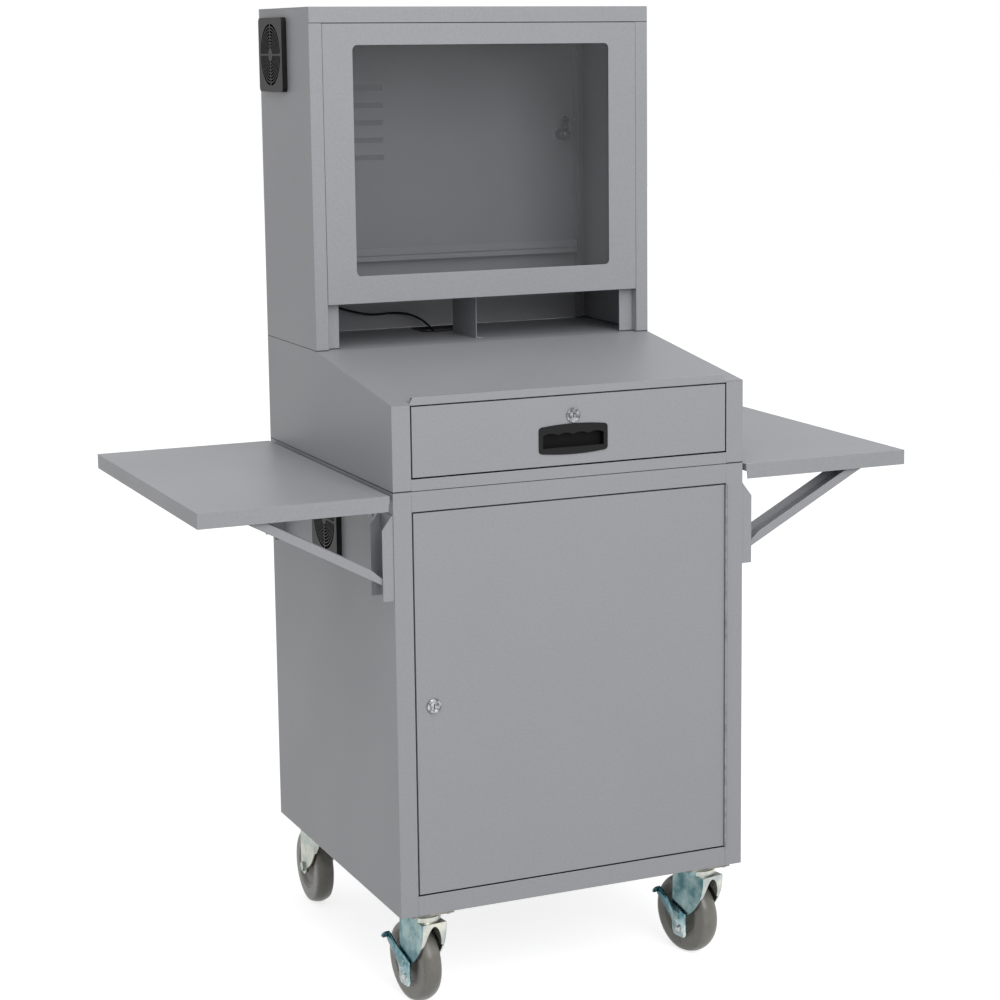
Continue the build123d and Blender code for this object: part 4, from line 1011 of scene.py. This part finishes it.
# %% Hang the lead
LEAD_HALF = 2.0 * MM
lead_points = [
    (-297, 527, 1476), (-297, 527, 1450), (-287, 545, 1422), (-276, 575, 1390), (-274, 588, 1345),
    (-277, 591, 1292), (-273, 589, 1238), (-276, 591, 1184), (-268, 590, 1138), (-238, 591, 1108),
    (-196, 590, 1098), (-155, 591, 1085), (-120, 590, 1078), (-82, 589, 1081), (-50, 588, 1077),
    (-24, 583, 1063), (-6, 573, 1042), (2, 562, 1010), (-2, 556, 965), (1, 557, 918),
    (-6, 556, 876), (-28, 558, 846), (-66, 560, 832), (-112, 557, 828), (-160, 553, 829),
    (-208, 543, 826), (-246, 520, 824), (-268, 486, 820), (-282, 450, 808), (-299, 418, 790),
    (-297, 392, 775), (-297, 372, 775),
]
route = [at(*point) for point in lead_points]
curve = bpy.data.curves.new("fan_lead_cord", "CURVE")
curve.dimensions = "3D"
curve.bevel_depth = LEAD_HALF
curve.bevel_resolution = 6
curve.use_fill_caps = True
spline = curve.splines.new("NURBS")
spline.points.add(len(route) - 1)
for point, place in zip(spline.points, route):
    point.co = (*place, 1.0)
spline.order_u = 3
spline.use_endpoint_u = True
spline.resolution_u = 8
curve.materials.append(lead_rubber)
lead = new_object("fan_lead_cord", curve)
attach(lead, "cabinet")
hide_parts("fan_lead")
print("lead points", len(route))

# %% [markdown]
# ## Screws by Geometry Nodes
# Screws repeat, so one tree makes them all: points carry the places, and a pan head made of a low
# cylinder and a shallow cone stands on each. The sizes and the direction are named inputs of the
# tree.

# %% Define how a tree is built
class Recipe:
    """A Geometry Nodes tree with named inputs."""

    def __init__(self, name, inputs):
        self.group = bpy.data.node_groups.new(name, "GeometryNodeTree")
        self.identifiers = {}
        interface = self.group.interface
        for label, kind in {"Geometry": "NodeSocketGeometry", **inputs}.items():
            socket = interface.new_socket(label, in_out="INPUT", socket_type=kind)
            self.identifiers[label] = socket.identifier
        interface.new_socket("Geometry", in_out="OUTPUT", socket_type="NodeSocketGeometry")
        self.source = self.group.nodes.new("NodeGroupInput").outputs
        self.result = self.group.nodes.new("NodeGroupOutput").inputs

    def add(self, kind, settings=None, inputs=None):
        """Outputs of a new node with its settings, then the values or links of its sockets."""
        made = self.group.nodes.new(kind)
        for name, value in (settings or {}).items():
            setattr(made, name, value)
        for key, value in (inputs or {}).items():
            if isinstance(value, bpy.types.NodeSocket):
                self.group.links.new(value, made.inputs[key])
            else:
                made.inputs[key].default_value = value
        return made.outputs

    def join(self, *parts):
        """Several shapes as one."""
        join = self.group.nodes.new("GeometryNodeJoinGeometry")
        for part in parts:
            self.group.links.new(part, join.inputs[0])
        return join.outputs[0]

    def finish(self, geometry, material):
        """End of the tree: plain geometry with its material."""
        real = self.add("GeometryNodeRealizeInstances", None, {0: geometry})
        painted = self.add("GeometryNodeSetMaterial", None,
                           {"Geometry": real[0], "Material": material})
        self.group.links.new(painted[0], self.result[0])

    def make(self, name, points, values):
        """Mesh that the tree makes on a set of points."""
        mesh = bpy.data.meshes.new(name)
        mesh.from_pydata(points, [], [])
        carrier = new_object(name + "_points", mesh)
        modifier = carrier.modifiers.new("recipe", "NODES")
        modifier.node_group = self.group
        for label, value in values.items():
            modifier[self.identifiers[label]] = value
        return evaluated_mesh(carrier)


print("recipe builder ready")

# %% Build the screw trees
HEAD_SIDES = 20
HEAD_TOP = 0.62


def screw_recipe(name, material):
    """Tree that stands a pan head on every point."""
    recipe = Recipe(name, {"Radius": "NodeSocketFloat", "Height": "NodeSocketFloat",
                           "Direction": "NodeSocketVector"})
    radius, height = recipe.source["Radius"], recipe.source["Height"]
    rim = recipe.add("GeometryNodeMeshCylinder", None,
                     {"Vertices": HEAD_SIDES, "Radius": radius, "Depth": height})
    top = recipe.add("ShaderNodeMath", {"operation": "MULTIPLY"}, {0: radius, 1: HEAD_TOP})
    dome = recipe.add("GeometryNodeMeshCone", None, {
        "Vertices": HEAD_SIDES, "Radius Top": top[0], "Radius Bottom": radius, "Depth": height})
    half = recipe.add("ShaderNodeMath", {"operation": "MULTIPLY"}, {0: height, 1: 0.5})
    rim_place = recipe.add("ShaderNodeCombineXYZ", None, {"Z": half[0]})
    dome_place = recipe.add("ShaderNodeCombineXYZ", None, {"Z": height})
    low = recipe.add("GeometryNodeTransform", None,
                     {"Geometry": rim[0], "Translation": rim_place[0]})
    high = recipe.add("GeometryNodeTransform", None,
                      {"Geometry": dome[0], "Translation": dome_place[0]})
    turned_up = recipe.add("FunctionNodeAlignRotationToVector", {"axis": "Z"},
                           {"Vector": recipe.source["Direction"]})
    stood = recipe.add("GeometryNodeInstanceOnPoints", None, {
        "Points": recipe.source["Geometry"], "Instance": recipe.join(low[0], high[0]),
        "Rotation": turned_up[0]})
    recipe.finish(stood[0], material)
    return recipe


screws = {
    "zinc": screw_recipe("zinc_pan_heads", zinc),
    "grey_coat": screw_recipe("painted_rivets", plain_coat),
}
print("screw trees", *(recipe.group.name for recipe in screws.values()))

# %% [markdown]
# ## Where the screws go
# Four bolts hold each caster's plate under the base. The shelf hinges and the brackets are riveted
# to the side walls, and a few screws show in the back corner of the cubby. A screw holds each
# lock's cam, and a bolt sits in the tab of each brake lever.

# %% Place the bolts and rivets of the cabinet
def fasten(name, material_slot, points, radius, height, direction, body="cabinet"):
    """Screws or rivets on a set of points, as one piece of a body."""
    mesh = screws[material_slot].make(name, points, {
        "Radius": radius * MM, "Height": height * MM, "Direction": direction})
    add_piece(name, mesh, body, material_slot)
    print(name, len(points))


PLATE_LOW_Z = 167.5
bolt_points = [
    at(plate_x + across, plate_y + along, PLATE_LOW_Z)
    for plate_x in (-254.0, 254.0) for plate_y in (48.0, 564.0)
    for across in (-29.0, 29.0) for along in (-38.0, 38.0)
]
fasten("caster_plate_bolts", "zinc", bolt_points, 5.0, 1.8, (0.0, 0.0, -1.0))

HINGE_FACE_X = 312.0
HINGE_RIVET_Z = 817.0
BRACKET_FACE_X = 312.5
BRACKET_MIDDLE = 27.0
for side, name in ((-1, "left"), (1, "right")):
    outward = (side, 0.0, 0.0)
    hinge_points = [
        at(side * HINGE_FACE_X, hinge_y + along, HINGE_RIVET_Z)
        for hinge_y in (70.0, 410.0) for along in (20.0, 60.0, 100.0)
    ]
    fasten(name + "_hinge_rivets", "grey_coat", hinge_points, 3.2, 0.8, outward)
    bracket_points = [
        at(side * BRACKET_FACE_X, bracket_y + BRACKET_MIDDLE, rivet_z)
        for bracket_y in (2.0, 544.0) for rivet_z in (753.0, 795.0)
    ]
    fasten(name + "_bracket_rivets", "grey_coat", bracket_points, 4.5, 1.2, outward)

CORNER_X = 283.0
CORNER_Y = 589.9
corner_points = [at(CORNER_X, CORNER_Y, z) for z in (1080.0, 1064.0, 1420.0, 1180.0)]
fasten("corner_screws", "zinc", corner_points, 2.6, 1.0, (0.0, -1.0, 0.0))

# %% Place the screws of the locks and levers
lock_ends = {
    "front_lock": (at(-248.5, 29.5, 517.0), (0.0, 1.0, 0.0)),
    "drawer_lock": (at(0.0, 22.5, 968.0), (0.0, 1.0, 0.0)),
    "rear_lock": (at(262.0, 582.5, 1392.0), (0.0, -1.0, 0.0)),
}
for body, (place, direction) in lock_ends.items():
    fasten(body + "_cam_screw", "zinc", [place], 4.2, 2.2, direction, body)

TAB_BACK = -9.5 * MM
TAB_UP = -22.0 * MM
for corner in BRAKED:
    caster = casters[corner]
    place = caster.centre + TAB_BACK * caster.trail + TAB_UP * UP - LEVER_OUT * caster.across
    body = "brake_lever_" + corner
    fasten(body + "_bolt", "zinc", [place], 5.2, 2.2, tuple(-caster.across), body)

# %% [markdown]
# ## Rear door stop
# The rear door closes against a folded strip along the top of the rear panel, which shuts the gap
# below the door. It is an angle: a foot on the panel and an upstand just inside the door.

# %% Fold the stop
STOP_HALF = 288.0
STOP_INNER = -593.5 * MM
STOP_LIP = -595.0 * MM
STOP_FOOT = -600.0 * MM
for name, low_z, high_z, outer in (
    ("rear_door_stop", 1174, 1184, STOP_FOOT),
    ("rear_door_stop_lip", 1183, 1198, STOP_LIP),
):
    outline = in_metres(rectangle(-STOP_HALF, low_z, STOP_HALF, high_z))
    mesh = prism(name, outline, FRONT_FACE, ALONG_X, UP, outer, STOP_INNER)
    add_piece(name, mesh, "cabinet", "grey_coat")
    print(name, len(mesh.polygons))

# %% [markdown]
# ## Louvre cheeks
# Each pressed louvre in the rear door is closed at both ends by a small triangular cheek. A tree
# stands the same cheek on a point at each end, so ten of them come from one template.

# %% Close the louvres
LOUVRES = 5
LOUVRE_RIGHT_X = -85.0
LOUVRE_LENGTH = 150.0
LOUVRE_FIRST_Z = 1486.0
LOUVRE_PITCH = 31.0
LOUVRE_Y = 612.0
CHEEK_HALF = 0.6
CHEEK_OUTLINE = [(0.2, 1.2), (6.6, -12.0), (0.2, -12.0)]
cheek = prism("cheek_template", in_metres(CHEEK_OUTLINE), ORIGIN, ALONG_Y, UP,
              -CHEEK_HALF * MM, CHEEK_HALF * MM)
template = new_object("cheek_template", cheek)
cheeks = Recipe("louvre_cheeks", {"Cheek": "NodeSocketObject"})
shape = cheeks.add("GeometryNodeObjectInfo", None, {"Object": cheeks.source["Cheek"]})
stood = cheeks.add("GeometryNodeInstanceOnPoints", None, {
    "Points": cheeks.source["Geometry"], "Instance": shape["Geometry"]})
cheeks.finish(stood[0], plain_coat)
louvre_ends = (LOUVRE_RIGHT_X - CHEEK_HALF, LOUVRE_RIGHT_X - LOUVRE_LENGTH + CHEEK_HALF)
cheek_points = [
    at(end_x, LOUVRE_Y, LOUVRE_FIRST_Z - row * LOUVRE_PITCH)
    for row in range(LOUVRES) for end_x in louvre_ends
]
mesh = cheeks.make("louvre_cheeks", cheek_points, {"Cheek": template})
bpy.data.objects.remove(template)
add_piece("louvre_cheeks", mesh, "rear_door", "grey_coat")
print("cheeks", len(cheek_points))

# %% [markdown]
# ## Floor and light
# The photograph is a studio shot on white. A wide pale floor keeps a soft shadow, the world is
# pale, and two large lamps make the front a little brighter than the left side, as in the picture.
# The floor glows and the world turns pure white only where the camera sees them, directly, in a
# gloss or through the glazing, so neither of the two makes the cabinet itself brighter.

# %% Lay the floor and the world
FLOOR_HALF = 20.0
FLOOR_GLOW = 0.76
WORLD_LIGHT = 0.52
WHITE = colour(1.0, 1.0, 1.0)

floor_mesh = bpy.data.meshes.new("floor")
floor_corners = rectangle(-FLOOR_HALF, -FLOOR_HALF, FLOOR_HALF, FLOOR_HALF)
floor_mesh.from_pydata([(x, y, 0) for x, y in floor_corners], [], [(0, 1, 2, 3)])
floor = new_object("floor", floor_mesh)

ground = Finish("pale_floor")
lit = ground.node("ShaderNodeBsdfDiffuse", None, {"Color": colour(0.62, 0.62, 0.62)})
glow = ground.node("ShaderNodeEmission", None, {"Color": WHITE, "Strength": FLOOR_GLOW})
both = ground.node("ShaderNodeAddShader", None, {0: lit, 1: glow})
shown = ground.node("ShaderNodeMixShader", None, {0: ground.seen(), 1: lit, 2: both})
ground.end("ShaderNodeOutputMaterial", shown)
floor_mesh.materials.append(ground.material)

world = bpy.data.worlds.new("studio")
world.use_nodes = True
sky = ShaderTree(world.node_tree)
soft = sky.node("ShaderNodeBackground", None, {"Color": WHITE, "Strength": WORLD_LIGHT})
white = sky.node("ShaderNodeBackground", None, {"Color": WHITE, "Strength": 1.0})
shown = sky.node("ShaderNodeMixShader", None, {0: sky.seen(), 1: soft, 2: white})
sky.end("ShaderNodeOutputWorld", shown)
bpy.context.scene.world = world
print("floor", 2 * FLOOR_HALF, "m wide")


# %% Hang the lamps
def soft_box(name, place, target, size, power):
    """Large square lamp that faces a point."""
    lamp = bpy.data.lights.new(name, "AREA")
    lamp.shape = "SQUARE"
    lamp.size = size
    lamp.energy = power
    holder = new_object(name, lamp)
    holder.location = place
    facing = (Vector(target) - Vector(place)).to_track_quat("-Z", "Y")
    holder.rotation_euler = facing.to_euler()


soft_box("front_box", place=(0.2, -4.5, 3.0), target=(0, 0, 1.1), size=2.6, power=95)
soft_box("top_box", place=(-0.6, -2.2, 4.1), target=(0, 0, 0.8), size=2.6, power=40)
bpy.context.scene.view_settings.view_transform = "Standard"
print("lamps placed")
